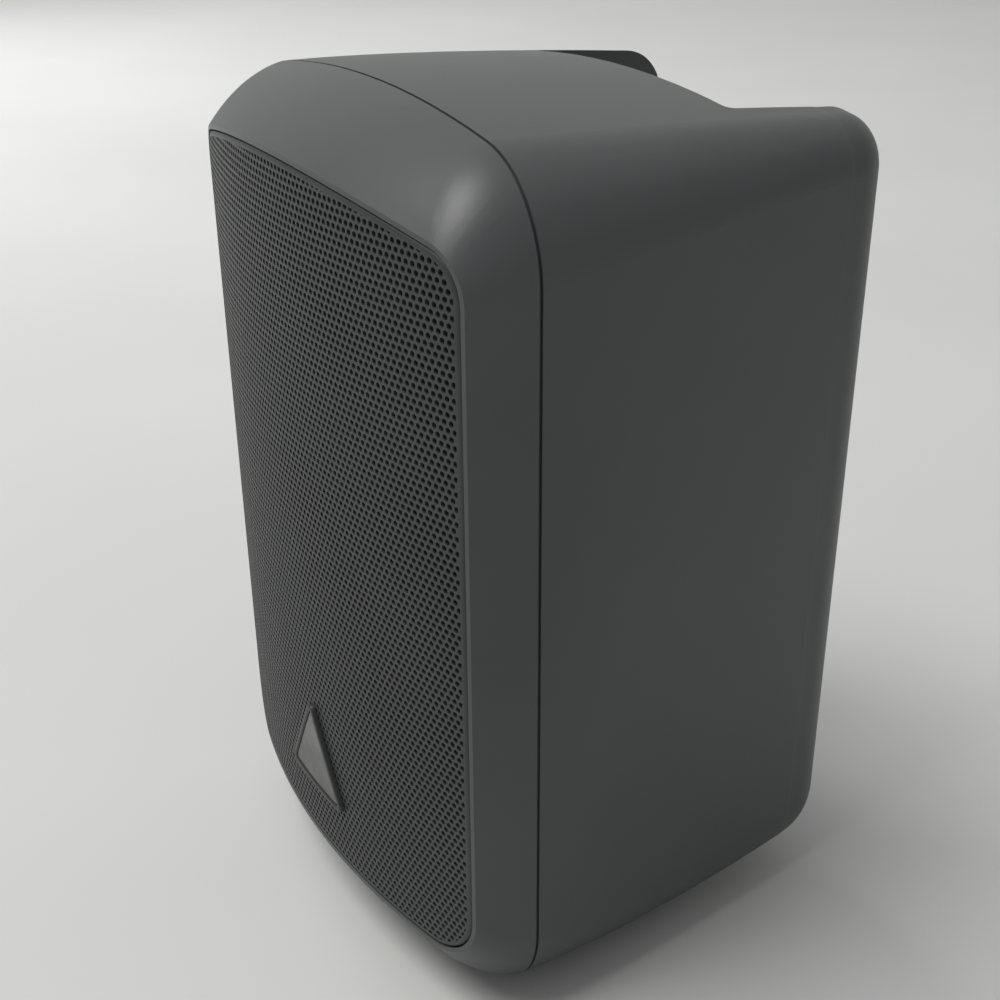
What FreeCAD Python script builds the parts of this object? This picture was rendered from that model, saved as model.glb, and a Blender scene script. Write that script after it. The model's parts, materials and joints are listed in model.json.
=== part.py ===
import FreeCAD, Part

import math
import os
from collections import namedtuple
from FreeCAD import Vector

# A compact two-way loudspeaker: a tapered rear enclosure, a bowed front baffle and a pull-off grille.
# Millimetres. +Z is up, the grille faces -Y, and X = 0 is the plane of symmetry.
# The origin is the middle of the footprint, at the underside of the rubber feet.
# Inside this file a place is given as (x, depth, z): depth is counted backwards from the seam between
# baffle and enclosure, and z upwards from the lowest point of the enclosure.

# ---------------------------------------------------------------- cabinet
HEIGHT = 235.0             # enclosure, at the seam
WIDTH = 155.0              # enclosure, at the seam
REAR_DEPTH = 115.5         # seam to the tips of the rear wings
REAR_WIDTH = 116.0         # across the wings before their rear edges are rounded
SIDE_TAPER_POWER = 1.3     # how late the sides draw in
TOP_FALL = 8.6             # the top comes down this much towards the rear
TOP_FALL_POWER = 1.5       # how late it does so
BOTTOM_RISE = 7.5          # and the bottom goes up this much
CROWN = 8.6                # rise of the arched top over its width
SEAM_CORNER_R = 27.4
REAR_CORNER_R = 11.0
REAR_ROUND = 12.0          # rounding of the rear edges, top and sides
REAR_ROUND_BOTTOM = 18.0   # rounding of the rear edge at the bottom
WALL = 3.2

# ---------------------------------------------------------------- rear channel
CHANNEL_WIDTH = 90.0
CHANNEL_DEPTH = 43.8       # from the wing tips in to the channel's floor
CHANNEL_CORNER_R = 2.5     # inside corners of the channel
CHANNEL_LIP_R = 1.5        # rounding at the mouth
INSERT_SPACING = 90.0      # between the two bracket inserts, up the channel
INSERT_MID_Z = 90.0
INSERT_LENGTH = 9.5
INSERT_R = 3.5
INSERT_THREAD_R = 2.1      # M5 core
BOSS_WALL = 2.5
BOSS_END = 2.0             # closed end behind an insert

# ---------------------------------------------------------------- baffle and bezel
BEZEL_DEPTH = 16.5         # seam to the grille's side edges
FRONT_BOW = 11.0           # the middle of the front stands this much further out
FRONT_HALF_WIDTH = 74.5    # the opening in the bezel
FRONT_TOP = 221.6
FRONT_BOTTOM = 19.0
FRONT_CROWN = 9.6
FRONT_TOP_R = 13.0
FRONT_BOTTOM_R = 17.0
BEZEL_FLATNESS = 0.3       # 1 makes the bezel a straight chamfer, 0 bulges it most
LIP = 1.2                  # edge of the bezel around the grille
BOARD_FRONT = -9.0
BOARD_THICKNESS = 5.0
TONGUE_LENGTH = 5.0
TONGUE_THICKNESS = 2.5
TONGUE_CLEARANCE = 0.2
SHADOW_GAP = 0.9           # groove that shows as the dark seam line
GASKET_WIDTH = 1.2
GASKET_DEPTH = 1.0
GASKET_INSET = 1.4

# ---------------------------------------------------------------- grille
SHEET = 1.0
GRILLE_CLEARANCE = 0.3
GRILLE_RETURN_END = -11.0  # how far back the folded edge reaches
CLOTH = 0.5
CLOTH_INSET = 2.5
PEG_R = 2.4
PEG_LENGTH_IN = 4.6        # length of a peg inside its socket
PEG_CLEARANCE = 0.05
SOCKET_R = 4.0
SOCKET_FLANGE_R = 5.0
SOCKET_FLANGE = 0.8
PEG_SIDE_X = 67.0
PEG_LOW_Z = 48.0
PEG_HIGH_Z = 132.0
PEG_END_X = 34.0
PEG_TOP_Z = 209.0
PEG_BOTTOM_Z = 26.0

# ---------------------------------------------------------------- badge
BADGE_BASE_Z = 38.0
BADGE_WIDTH = 36.0
BADGE_HEIGHT = 30.0
BADGE_CORNER_R = 2.0
BADGE_RIM = 1.6
BADGE_PROUD = 1.5
BADGE_PLATE_SUNK = 0.5
BADGE_STUD_R = 1.2
BADGE_STUD_LENGTH = 3.5
BADGE_STUD_X = 7.92        # the two lower studs, each side of the middle
BADGE_STUD_UP = 6.0        # above the badge's base
BADGE_TOP_STUD_UP = 18.6
BADGE_NUT_R = 3.0
BADGE_NUT = 1.0

# ---------------------------------------------------------------- woofer
WOOFER_Z = 90.0
WOOFER_R = 66.0
WOOFER_FLANGE = 3.0
WOOFER_BASKET_DEPTH = 34.0
WOOFER_SEAL = 1.0
WOOFER_MOUTH_R = 57.0
WOOFER_SCREW_RING_R = 62.8
WOOFER_SCREWS = 4
ROLL_SPAN = 9.0            # width of the surround's half-roll, between cone and basket
CONE_DEPTH = 17.0
CONE_THICKNESS = 0.9
ROLL_HEIGHT = 4.5
ROLL_THICKNESS = 0.7
ROLL_RIM = 2.2
COIL_R = 12.6
COIL_WALL = 0.4
COIL_WIRE = 0.5
COIL_GAP = 0.5
POLE_GAP = 0.5
DUST_CAP_RISE = 5.0
SPIDER_R = 31.0
SPIDER_THICKNESS = 0.6
SPIDER_RIM = 3.5           # flat rim glued to the basket's ledge
SPIDER_LEDGE = 3.0
SPIDER_DEPTH = 9.0         # behind the cone's neck
BASKET_WALL = 1.6
BASKET_WINDOWS = 6
BASKET_WINDOW_WIDTH = 18.0
TOP_PLATE = 4.0
MAGNET_R = 40.0
MAGNET_BORE_R = 19.0
MAGNET_LENGTH = 14.0
BACK_PLATE = 4.0
PLATE_R = 37.0
POLE_VENT_R = 4.0

# ---------------------------------------------------------------- tweeter and ports
TWEETER_Z = 186.0
TWEETER_R = 24.0
TWEETER_FLANGE = 2.5
TWEETER_SEAT_R = 17.5
TWEETER_SCREW_RING_R = 20.5
TWEETER_SCREWS = 3
DOME_R = 9.5
DOME_RISE = 3.6
DOME_THICKNESS = 0.3
TWEETER_COIL_LENGTH = 4.0
TWEETER_MAGNET_R = 16.0
TWEETER_MAGNET_LENGTH = 8.0
TWEETER_BACK_PLATE = 3.0
PORT_X = 50.0
PORT_Z = 186.0
PORT_R = 10.0
PORT_WALL = 1.6
PORT_LENGTH = 46.0
PORT_FLARE = 2.5
PORT_LIP = 2.0             # how far the tube's mouth stands in front of the board

# ---------------------------------------------------------------- terminals and crossover
CUP_Z = 172.0
CUP_WIDTH = 58.0
CUP_HEIGHT = 32.0
CUP_DEPTH = 14.0
CUP_WALL = 2.0
CUP_FLANGE = 2.4
CUP_FLANGE_OVERLAP = 5.0
CUP_CORNER_R = 3.0
CUP_CLEARANCE = 0.2
TERMINAL_SPACING = 28.0
LEVER_WIDTH = 16.0
LEVER_LENGTH = 15.0        # below the hinge pin
LEVER_THICKNESS = 2.6
LEVER_PIN_R = 1.0
LEVER_BORE_CLEARANCE = 0.05
LEVER_PIN_DOWN = 4.0       # hinge pin below the recess's ceiling
LEVER_PIN_SUNK = 4.6       # hinge pin behind the channel's floor
LEVER_KNUCKLE_WALL = 1.4
LEVER_TAB = 5.0            # height of the finger tab
CHEEK = 2.0                # thickness of the walls that carry the pins
LEVER_SIDE_GAP = 0.5
WIRE_SOCKET_R = 2.3
WIRE_SOCKET_UP = 5.0       # above the recess's floor
WIRE_SOCKET_HALF_WIDTH = 6.0
WIRE_SOCKET_HALF_HEIGHT = 4.0
WIRE_SOCKET_LENGTH = 6.0
LEAF = 0.4
PIN_R = 1.0
BOARD_WIDTH = 78.0
BOARD_HEIGHT = 50.0
BOARD_SHEET = 1.6
BOARD_STANDOFF = 17.0
STANDOFF_R = 3.0
STANDOFF_X = 35.0
STANDOFF_Z = 21.0
RESISTOR_X = 18.0
RESISTOR_DOWN = 10.0       # its lower side, below the board's middle
RESISTOR_LENGTH = 16.0
RESISTOR_SIDE = 7.0
LAMP_X = -36.0
LAMP_DOWN = 6.0
LAMP_CAP = 4.0
LAMP_R = 3.0
LAMP_LENGTH = 20.0
STANDOFF_SCREW_IN = 1.8    # how far its screw goes into the channel's skin

# ---------------------------------------------------------------- feet, screws and leads
FOOT_HEIGHT = 2.0          # below the lowest point of the enclosure
FOOT_R = 6.0
FOOT_X = 40.0
FOOT_FRONT = 9.0
FOOT_REAR = 58.0
FOOT_PEG_R = 2.0
FOOT_PEG_HEIGHT = 3.0      # above the inside of the floor
SCREW_R = 1.5
SCREW_HEAD_R = 3.2
SCREW_HEAD = 1.8
SMALL_HEAD_R = 2.6         # screws of the drivers and of the crossover board
WOOFER_SCREW_LENGTH = 12.0
TWEETER_SCREW_LENGTH = 11.0
CUP_SCREW_HEAD_R = 2.4
CUP_SCREW_HEAD = 1.4
CABINET_SCREW_LENGTH = 16.0
CABINET_BOSS_R = 4.2
CABINET_BOSS_LENGTH = 26.0
CABINET_SCREW_PLACES = ((64.0, 29.0), (65.0, 157.0), (62.0, 204.0))
PAD_THICKNESS = 8.0
PAD_START = 30.0
PAD_END = 52.0
PAD_LOW_Z = 44.0
PAD_HIGH_Z = 140.0
LEAD_R = 0.9

BOARD_BACK = BOARD_FRONT + BOARD_THICKNESS
FRONT_REACH = BEZEL_DEPTH + FRONT_BOW + BADGE_PROUD
SEAM_Y = (FRONT_REACH - REAR_DEPTH) / 2
BOW_R = (FRONT_HALF_WIDTH**2 + FRONT_BOW**2) / (2 * FRONT_BOW)
BOW_CENTRE = BOW_R - BEZEL_DEPTH - FRONT_BOW
CHANNEL_FLOOR = REAR_DEPTH - CHANNEL_DEPTH
CHANNEL_SKIN = CHANNEL_FLOOR - WALL
OVER = 20.0                # how far a cutting tool runs past what it cuts
SMALLEST_CORNER = 4.0      # outlines never get sharper corners than this

Outline = namedtuple("Outline", "half top bottom crown r_top r_bottom")


# ================================================================ helpers
def place(x, depth, z):
    """The point in the part's own frame."""
    return Vector(x, SEAM_Y + depth, FOOT_HEIGHT + z)


def box(x0, x1, d0, d1, z0, z1):
    return Part.makeBox(x1 - x0, d1 - d0, z1 - z0, place(x0, d0, z0))


def rod(radius, d0, d1, x, z):
    """A cylinder along the depth."""
    return Part.makeCylinder(radius, d1 - d0, place(x, d0, z), Vector(0, 1, 0))


def ring(outer, inner, d0, d1, x, z):
    return rod(outer, d0, d1, x, z).cut(rod(inner, d0 - 1, d1 + 1, x, z))


def turned(profile, x, z):
    """A closed profile of (radius, depth) points, turned about a line along the depth."""
    points = [Vector(radius, depth, 0) for radius, depth in profile]
    face = Part.Face(Part.makePolygon(points + points[:1]))
    solid = face.revolve(Vector(0, 0, 0), Vector(0, 1, 0), 360)
    solid.translate(place(x, 0, z))
    return solid


def turned_shell(curve, thickness, x, z):
    """A sheet of revolution: the (radius, depth) curve is its front, and its back lies thickness behind."""
    back = [(radius, depth + thickness) for radius, depth in reversed(curve)]
    return turned(list(curve) + back, x, z)


def biggest(shape):
    return max(shape.Solids, key=lambda solid: solid.Volume)


def group(shapes):
    return Part.makeCompound([solid for shape in shapes for solid in shape.Solids])


def mirrored_pair(places):
    """Each (x, z) place and its mirror image across X = 0."""
    return [(sign * x, z) for x, z in places for sign in (-1, 1)]


def around(count, radius, z, start_deg):
    """Places evenly spaced on a circle about (0, z)."""
    angles = [math.radians(start_deg + 360 * i / count) for i in range(count)]
    return [(radius * math.cos(a), z + radius * math.sin(a)) for a in angles]


def screw(x, z, seat, length, head_r=SCREW_HEAD_R, shank_r=SCREW_R):
    """A pan-head screw driven towards the rear; seat is the depth of the face its head sits on."""
    head = rod(head_r, seat - SCREW_HEAD, seat, x, z)
    edge = [e for e in head.Edges if abs(e.BoundBox.YMin - (SEAM_Y + seat - SCREW_HEAD)) < 0.01]
    head = head.makeFillet(SCREW_HEAD / 2, edge)
    slot = rod(head_r / 3, seat - SCREW_HEAD - 1, seat - SCREW_HEAD / 2, x, z)
    return head.cut(slot).fuse(rod(shank_r, seat, seat + length, x, z)).removeSplitter()


def lead(points):
    """A round lead: straight runs joined by tangent arcs, each as large as its two runs allow."""
    points = [place(*p) for p in points]
    edges = []
    start = points[0]
    for before, corner, after in zip(points, points[1:], points[2:]):
        to_before = (before - corner).normalize()
        to_after = (after - corner).normalize()
        cut = 0.45 * min((before - corner).Length, (after - corner).Length)
        arc_start = corner + to_before * cut
        arc_end = corner + to_after * cut
        half_angle = to_before.getAngle(to_after) / 2
        radius = cut * math.tan(half_angle)
        centre = corner + (to_before + to_after).normalize() * (radius / math.sin(half_angle))
        middle = centre + (corner - centre).normalize() * radius
        edges.append(Part.LineSegment(start, arc_start).toShape())
        edges.append(Part.Arc(arc_start, middle, arc_end).toShape())
        start = arc_end
    edges.append(Part.LineSegment(start, points[-1]).toShape())
    path = Part.Wire(edges)
    section = Part.Wire([Part.Circle(points[0], points[1] - points[0], LEAD_R).toShape()])
    tube = path.makePipeShell([section], True, False)
    expected = path.Length * math.pi * LEAD_R**2
    print("lead: length %.1f, volume/expected %.3f" % (path.Length, tube.Volume / expected))
    return tube


# ================================================================ cabinet outlines
def rounding(depth, radius, end):
    """How far a rounded rear edge has come in at this depth, if the rear face is at end."""
    past = max(0.0, depth - (end - radius))
    return radius - math.sqrt(max(0.0, radius**2 - past**2))


def shell_outline(depth, inset=0.0):
    """The enclosure's outline at a depth, or the same drawn in by inset."""
    share = max(0.0, depth / REAR_DEPTH)
    end = REAR_DEPTH - inset
    edge = rounding(depth, REAR_ROUND - inset, end)
    edge_bottom = rounding(depth, REAR_ROUND_BOTTOM - inset, end)
    corner = SEAM_CORNER_R + (REAR_CORNER_R - SEAM_CORNER_R) * share - inset - edge / 2
    half = WIDTH / 2 - (WIDTH - REAR_WIDTH) / 2 * share**SIDE_TAPER_POWER - inset - edge
    crown_r = ((WIDTH / 2)**2 + CROWN**2) / (2 * CROWN)
    crown = crown_r - math.sqrt(crown_r**2 - half**2)
    top = HEIGHT - TOP_FALL * share**TOP_FALL_POWER - inset - edge
    bottom = BOTTOM_RISE * share**2 + inset + edge_bottom
    return Outline(half, top, bottom, crown, max(corner, SMALLEST_CORNER), max(corner, SMALLEST_CORNER))


def drawn_in(o, inset):
    """An outline drawn in by inset, with its arcs kept concentric."""
    crown_r = (o.half**2 + o.crown**2) / (2 * o.crown) - inset
    half = o.half - inset
    crown = crown_r - math.sqrt(crown_r**2 - half**2)
    return Outline(half, o.top - inset, o.bottom + inset, crown, o.r_top - inset, o.r_bottom - inset)


def outline_edges(o, depth=0.0):
    """Eight tangent edges: sides, corner arcs, the arched top and the flat bottom."""
    crown_r = (o.half**2 + o.crown**2) / (2 * o.crown)
    crown_z = o.top - crown_r
    corner_x = o.half - o.r_top
    corner_z = crown_z + math.sqrt((crown_r - o.r_top)**2 - corner_x**2)
    turn = math.atan2(corner_z - crown_z, corner_x)
    foot_x = o.half - o.r_bottom
    foot_z = o.bottom + o.r_bottom

    def corner(side, angle):
        x = side * (corner_x + o.r_top * math.cos(angle))
        return place(x, depth, corner_z + o.r_top * math.sin(angle))

    def foot(side, angle):
        x = side * (foot_x + o.r_bottom * math.cos(angle))
        return place(x, depth, foot_z - o.r_bottom * math.sin(angle))

    quarter = math.pi / 2
    return [
        Part.LineSegment(foot(1, 0), corner(1, 0)),
        Part.Arc(corner(1, 0), corner(1, turn / 2), corner(1, turn)),
        Part.Arc(corner(1, turn), place(0, depth, o.top), corner(-1, turn)),
        Part.Arc(corner(-1, turn), corner(-1, turn / 2), corner(-1, 0)),
        Part.LineSegment(corner(-1, 0), foot(-1, 0)),
        Part.Arc(foot(-1, 0), foot(-1, quarter / 2), foot(-1, quarter)),
        Part.LineSegment(foot(-1, quarter), foot(1, quarter)),
        Part.Arc(foot(1, quarter), foot(1, quarter / 2), foot(1, 0)),
    ]


def outline_wire(o, depth=0.0):
    return Part.Wire([edge.toShape() for edge in outline_edges(o, depth)])


def prism(o, d0, d1):
    """An outline carried straight from one depth to another."""
    return Part.Face(outline_wire(o, d0)).extrude(Vector(0, d1 - d0, 0))


def band(o, inner_inset, outer_inset, d0, d1):
    """The ring between an outline drawn in by outer_inset and by inner_inset."""
    hole = prism(drawn_in(o, inner_inset), d0 - 1, d1 + 1)
    solid = prism(drawn_in(o, outer_inset) if outer_inset else o, d0, d1)
    return solid.cut(hole)


# ================================================================ bowed front
def bow_depth(x):
    return BOW_CENTRE - math.sqrt(BOW_R**2 - x**2)


def bow_solid(proud, back):
    """Everything behind the bowed front surface, moved forward by proud, as far back as back."""
    cylinder = Part.makeCylinder(BOW_R + proud, HEIGHT + 2 * OVER, place(0, BOW_CENTRE, -OVER))
    reach = WIDTH / 2 + OVER
    return cylinder.common(box(-reach, reach, -FRONT_REACH - OVER, back, -OVER, HEIGHT + OVER))


def bow_layer(outline, front, back):
    """A sheet under the bowed front: from front to back, both counted forward from the bow."""
    sheet = bow_solid(front, GRILLE_RETURN_END).cut(bow_solid(back, OVER))
    return biggest(sheet.common(prism(outline, -FRONT_REACH - OVER, GRILLE_RETURN_END)))


FRONT = Outline(FRONT_HALF_WIDTH, FRONT_TOP, FRONT_BOTTOM, FRONT_CROWN, FRONT_TOP_R, FRONT_BOTTOM_R)
POCKET = drawn_in(FRONT, LIP)
GRILLE = drawn_in(POCKET, GRILLE_CLEARANCE)
SEAM = shell_outline(0.0)


def bezel_wire(reach):
    """The bezel's outline at a share of the way from the seam (0) to the bowed front (1)."""
    share = BEZEL_FLATNESS * reach + (1 - BEZEL_FLATNESS) * reach**2
    blended = Outline(*[a + (b - a) * share for a, b in zip(SEAM, FRONT)])
    edges = []
    for edge in outline_edges(blended):
        samples = []
        for point in edge.toShape().discretize(9):
            samples.append(Vector(point.x, SEAM_Y + reach * bow_depth(point.x), point.z))
        curve = Part.BSplineCurve()
        curve.interpolate(samples)
        edges.append(curve.toShape())
    return Part.Wire(edges)


def bezel_block():
    """The whole front, solid: from the seam to the bow, inside the bezel's rounded sides."""
    reaches = (-0.15, 0.0, 0.2, 0.4, 0.6, 0.78, 0.9, 1.0, 1.05)
    side = Part.makeLoft([bezel_wire(reach) for reach in reaches], False, False)
    pieces = bow_solid(0.0, 0.0).generalFuse([side])[0].Solids
    heart = place(0, BOARD_FRONT, HEIGHT / 2)
    return [piece for piece in pieces if piece.isInside(heart, 0.01, False)][0]


# ================================================================ enclosure
def shell_loft(inset, start):
    """The closed outer form of the enclosure, or the form inset under it, from start backwards."""
    end = REAR_DEPTH - inset
    span = REAR_ROUND_BOTTOM - inset
    body = [start + (end - span - start) * i / 5 for i in range(6)]
    turn = (0, 12, 24, 36, 48, 60, 72, 82, 90)
    edge = [end - span * (1 - math.sin(math.radians(angle))) for angle in turn]
    halves = []
    for depths in (body, edge):
        wires = [outline_wire(shell_outline(depth, inset), depth) for depth in depths]
        halves.append(Part.makeLoft(wires, True, False))
    return halves[0].fuse(halves[1]).removeSplitter()


def channel_cut(skin=0.0):
    """The rear channel as a cutting tool; with skin, the space that its walls take up too."""
    half = CHANNEL_WIDTH / 2 + skin
    floor = CHANNEL_FLOOR - skin
    corner = CHANNEL_CORNER_R + skin
    far = REAR_DEPTH + OVER
    plan = box(-half, half, floor, far, -OVER, HEIGHT + OVER)
    upright = [e for e in plan.Edges if abs(e.tangentAt(e.FirstParameter).z) > 0.99]
    inner = [e for e in upright if abs(e.BoundBox.YMin - (SEAM_Y + floor)) < 0.01]
    plan = plan.makeFillet(corner, inner)
    if skin:
        return plan
    for sign in (-1, 1):
        start = REAR_DEPTH - CHANNEL_LIP_R
        strip = box(-CHANNEL_LIP_R, CHANNEL_LIP_R, start, far, -OVER, HEIGHT + OVER)
        strip.translate(Vector(sign * half, 0, 0))
        post = Part.makeCylinder(CHANNEL_LIP_R, HEIGHT + 3 * OVER,
                                 place(sign * (half + CHANNEL_LIP_R), start, -OVER - 1))
        plan = plan.fuse(strip.cut(post))
    return plan


def insert_places():
    return [INSERT_MID_Z - INSERT_SPACING / 2, INSERT_MID_Z + INSERT_SPACING / 2]


def cabinet_boss(x, z, cavity):
    """A screw boss that stands on a rib from the side wall and reaches the back of the baffle."""
    post = rod(CABINET_BOSS_R, BOARD_BACK, CABINET_BOSS_LENGTH, x, z)
    side = 1 if x > 0 else -1
    far = side * (WIDTH / 2 + OVER)
    rib_start = TONGUE_LENGTH + 1
    rib = box(min(x, far), max(x, far), rib_start, CABINET_BOSS_LENGTH, z - 1.5, z + 1.5)
    boss = post.fuse(rib.common(cavity))
    return boss.cut(rod(SCREW_R, BOARD_BACK - 1, CABINET_BOSS_LENGTH - 2, x, z))


def rear_enclosure(outer, cavity):
    shell = outer.cut(channel_cut()).cut(cavity)
    reach = WIDTH / 2 + OVER
    around_seam = box(-reach, reach, -1, SHADOW_GAP, -OVER, HEIGHT + OVER)
    shell = shell.cut(around_seam.cut(prism(drawn_in(SEAM, SHADOW_GAP), -2, SHADOW_GAP + 1)))
    shell = shell.cut(band(SEAM, GASKET_INSET + GASKET_WIDTH, GASKET_INSET, -1, GASKET_DEPTH))
    for x, z in mirrored_pair(CABINET_SCREW_PLACES):
        shell = shell.fuse(cabinet_boss(x, z, cavity))
    for z in insert_places():
        boss_end = CHANNEL_FLOOR - INSERT_LENGTH - BOSS_END
        shell = shell.fuse(rod(INSERT_R + BOSS_WALL, boss_end, CHANNEL_FLOOR - WALL / 2, 0, z))
        shell = shell.cut(rod(INSERT_R, CHANNEL_FLOOR - INSERT_LENGTH, CHANNEL_FLOOR + 1, 0, z))
    shell = shell.cut(cup_block(-CUP_CLEARANCE, CHANNEL_SKIN - 1, CHANNEL_FLOOR + 1))
    for x, z in cup_screw_places():
        shell = shell.cut(rod(SCREW_R, CHANNEL_SKIN - 1, CHANNEL_FLOOR + 1, x, z))
    for x, z in standoff_places():
        shell = shell.cut(rod(SCREW_R, CHANNEL_SKIN - 1, CHANNEL_SKIN + STANDOFF_SCREW_IN, x, z))
    for x, depth in foot_places():
        shell = shell.cut(Part.makeCylinder(FOOT_PEG_R, 2 * OVER, place(x, depth, -OVER)))
    return biggest(shell)


def cabinet_gasket():
    return band(SEAM, GASKET_INSET + GASKET_WIDTH, GASKET_INSET, 0, GASKET_DEPTH)


def bracket_inserts():
    sleeves = []
    for z in insert_places():
        sleeve = ring(INSERT_R, INSERT_THREAD_R, CHANNEL_FLOOR - INSERT_LENGTH, CHANNEL_FLOOR, 0, z)
        waist = ring(INSERT_R + 1, INSERT_R - 0.6, CHANNEL_FLOOR - 5.5, CHANNEL_FLOOR - 4.0, 0, z)
        sleeves.append(sleeve.cut(waist))
    return group(sleeves)


def foot_places():
    return [(sign * FOOT_X, depth) for depth in (FOOT_FRONT, FOOT_REAR) for sign in (-1, 1)]


def rubber_feet(outer):
    feet = []
    for x, depth in foot_places():
        disc = Part.makeCylinder(FOOT_R, OVER, place(x, depth, -FOOT_HEIGHT))
        rim = [e for e in disc.Edges if e.BoundBox.ZMax < 0.01]
        disc = disc.makeChamfer(0.6, rim)
        below = [s for s in disc.cut(outer).Solids if s.BoundBox.ZMin < 0.01][0]
        share = depth / REAR_DEPTH
        peg_top = BOTTOM_RISE * share**2 + WALL + FOOT_PEG_HEIGHT
        peg = Part.makeCylinder(FOOT_PEG_R, peg_top + FOOT_HEIGHT / 2, place(x, depth, -FOOT_HEIGHT / 2))
        feet.append(below.fuse(peg).removeSplitter())
    return group(feet)


# ================================================================ baffle
def front_baffle():
    baffle = bezel_block().cut(prism(POCKET, -FRONT_REACH - OVER, BOARD_FRONT))
    baffle = baffle.cut(prism(drawn_in(SEAM, WALL), BOARD_BACK, 1))
    inside = shell_outline(TONGUE_LENGTH, WALL + TONGUE_CLEARANCE)
    tongue = band(inside, TONGUE_THICKNESS, 0.0, BOARD_BACK - 1, TONGUE_LENGTH)
    baffle = baffle.fuse(tongue)
    baffle = baffle.cut(rod(WOOFER_MOUTH_R, BOARD_FRONT - 1, BOARD_BACK + 1, 0, WOOFER_Z))
    baffle = baffle.cut(rod(TWEETER_SEAT_R, BOARD_FRONT - 1, BOARD_BACK + 1, 0, TWEETER_Z))
    for x in (-PORT_X, PORT_X):
        baffle = baffle.cut(rod(PORT_R + PORT_WALL, BOARD_FRONT - 1, BOARD_BACK + 1, x, PORT_Z))
    for x, z in mirrored_pair(CABINET_SCREW_PLACES):
        baffle = baffle.cut(rod(SCREW_R, BOARD_FRONT - 1, BOARD_BACK + 1, x, z))
    for x, z in peg_places():
        baffle = baffle.cut(rod(SOCKET_R, BOARD_FRONT - 1, BOARD_BACK + 1, x, z))
    for x, z in woofer_screw_places() + tweeter_screw_places():
        baffle = baffle.cut(rod(SCREW_R, BOARD_FRONT - 1, BOARD_BACK + 1, x, z))
    return biggest(baffle)


def cabinet_screws():
    places = mirrored_pair(CABINET_SCREW_PLACES)
    return group([screw(x, z, BOARD_FRONT, CABINET_SCREW_LENGTH) for x, z in places])


def port_tube(x):
    mouth = PORT_R + PORT_FLARE
    front = BOARD_FRONT - PORT_LIP
    end = BOARD_FRONT + PORT_LENGTH
    bore = [(mouth, front), (PORT_R + 0.8, BOARD_FRONT - 0.8), (PORT_R, BOARD_FRONT + 1.5)]
    tail = [(PORT_R, end), (PORT_R + PORT_WALL, end)]
    outside = [(PORT_R + PORT_WALL, BOARD_FRONT), (mouth + 1.5, BOARD_FRONT)]
    lip = [(mouth + 1.5, front + 0.8), (mouth + 0.8, front)]
    return turned(bore + tail + outside + lip, x, PORT_Z)


# ================================================================ grille and badge
def peg_places():
    side = [(PEG_SIDE_X, PEG_LOW_Z), (PEG_SIDE_X, PEG_HIGH_Z)]
    ends = [(PEG_END_X, PEG_TOP_Z), (PEG_END_X, PEG_BOTTOM_Z)]
    return mirrored_pair(side + ends)


def grille():
    """Steel sheet bowed to the front, with its edge folded back all round."""
    face = bow_layer(GRILLE, 0.0, -SHEET)
    fold = band(GRILLE, SHEET, 0.0, -FRONT_REACH, GRILLE_RETURN_END)
    fold = fold.common(bow_solid(-SHEET / 2, OVER))
    sheet = face.fuse(fold)
    for x, z in badge_stud_places():
        sheet = sheet.cut(rod(BADGE_STUD_R, -FRONT_REACH - 1, BOARD_FRONT, x, z))
    return biggest(sheet)


def grille_cloth():
    """Thin black scrim glued behind the sheet."""
    cloth = bow_layer(drawn_in(GRILLE, SHEET + CLOTH_INSET), -SHEET, -SHEET - CLOTH)
    for x, z in peg_places():
        cloth = cloth.cut(rod(PEG_R + 2.5, -FRONT_REACH, BOARD_FRONT, x, z))
    for x, z in badge_stud_places():
        cloth = cloth.cut(rod(BADGE_NUT_R + 0.5, -FRONT_REACH, BOARD_FRONT, x, z))
    return biggest(cloth)


def grille_pegs():
    """Moulded pegs fixed to the back of the sheet, which push into the sockets."""
    pegs = []
    for x, z in peg_places():
        tip = BOARD_FRONT + PEG_LENGTH_IN
        stem = rod(PEG_R, bow_depth(0), tip - 1.2, x, z)
        nose = Part.makeCone(PEG_R, PEG_R * 0.6, 1.2, place(x, tip - 1.2, z), Vector(0, 1, 0))
        foot = rod(PEG_R + 1.8, bow_depth(0), bow_depth(abs(x)) + SHEET + 1.6, x, z)
        pegs.append(stem.fuse(nose).fuse(foot).common(bow_solid(-SHEET, OVER)).removeSplitter())
    return group(pegs)


def grille_sockets():
    """Rubber cups in the baffle that hold the pegs."""
    inner = PEG_R + PEG_CLEARANCE
    front = BOARD_FRONT - SOCKET_FLANGE
    closed = BOARD_FRONT + PEG_LENGTH_IN + 0.4
    end = closed + 1.2
    profile = [(inner, front), (SOCKET_FLANGE_R, front), (SOCKET_FLANGE_R, BOARD_FRONT),
               (SOCKET_R, BOARD_FRONT), (SOCKET_R, end), (0, end), (0, closed), (inner, closed)]
    return group([turned(profile, x, z) for x, z in peg_places()])


def badge_triangle(inset, d0, d1):
    """A triangle, point up, with rounded corners; its centre stays put as it is drawn in."""
    slope = math.atan2(BADGE_HEIGHT, BADGE_WIDTH / 2)
    half = BADGE_WIDTH / 2 - inset / math.tan(slope / 2)
    low = BADGE_BASE_Z + inset
    high = low + half * math.tan(slope)
    corners = [place(-half, d0, low), place(half, d0, low), place(0, d0, high)]
    solid = Part.Face(Part.makePolygon(corners + corners[:1])).extrude(Vector(0, d1 - d0, 0))
    along = [e for e in solid.Edges if abs(e.tangentAt(e.FirstParameter).y) > 0.99]
    return solid.makeFillet(max(BADGE_CORNER_R - inset / 2, 0.5), along)


def badge_stud_places():
    low = BADGE_BASE_Z + BADGE_STUD_UP
    return [(0.0, BADGE_BASE_Z + BADGE_TOP_STUD_UP), (-BADGE_STUD_X, low), (BADGE_STUD_X, low)]


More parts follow.
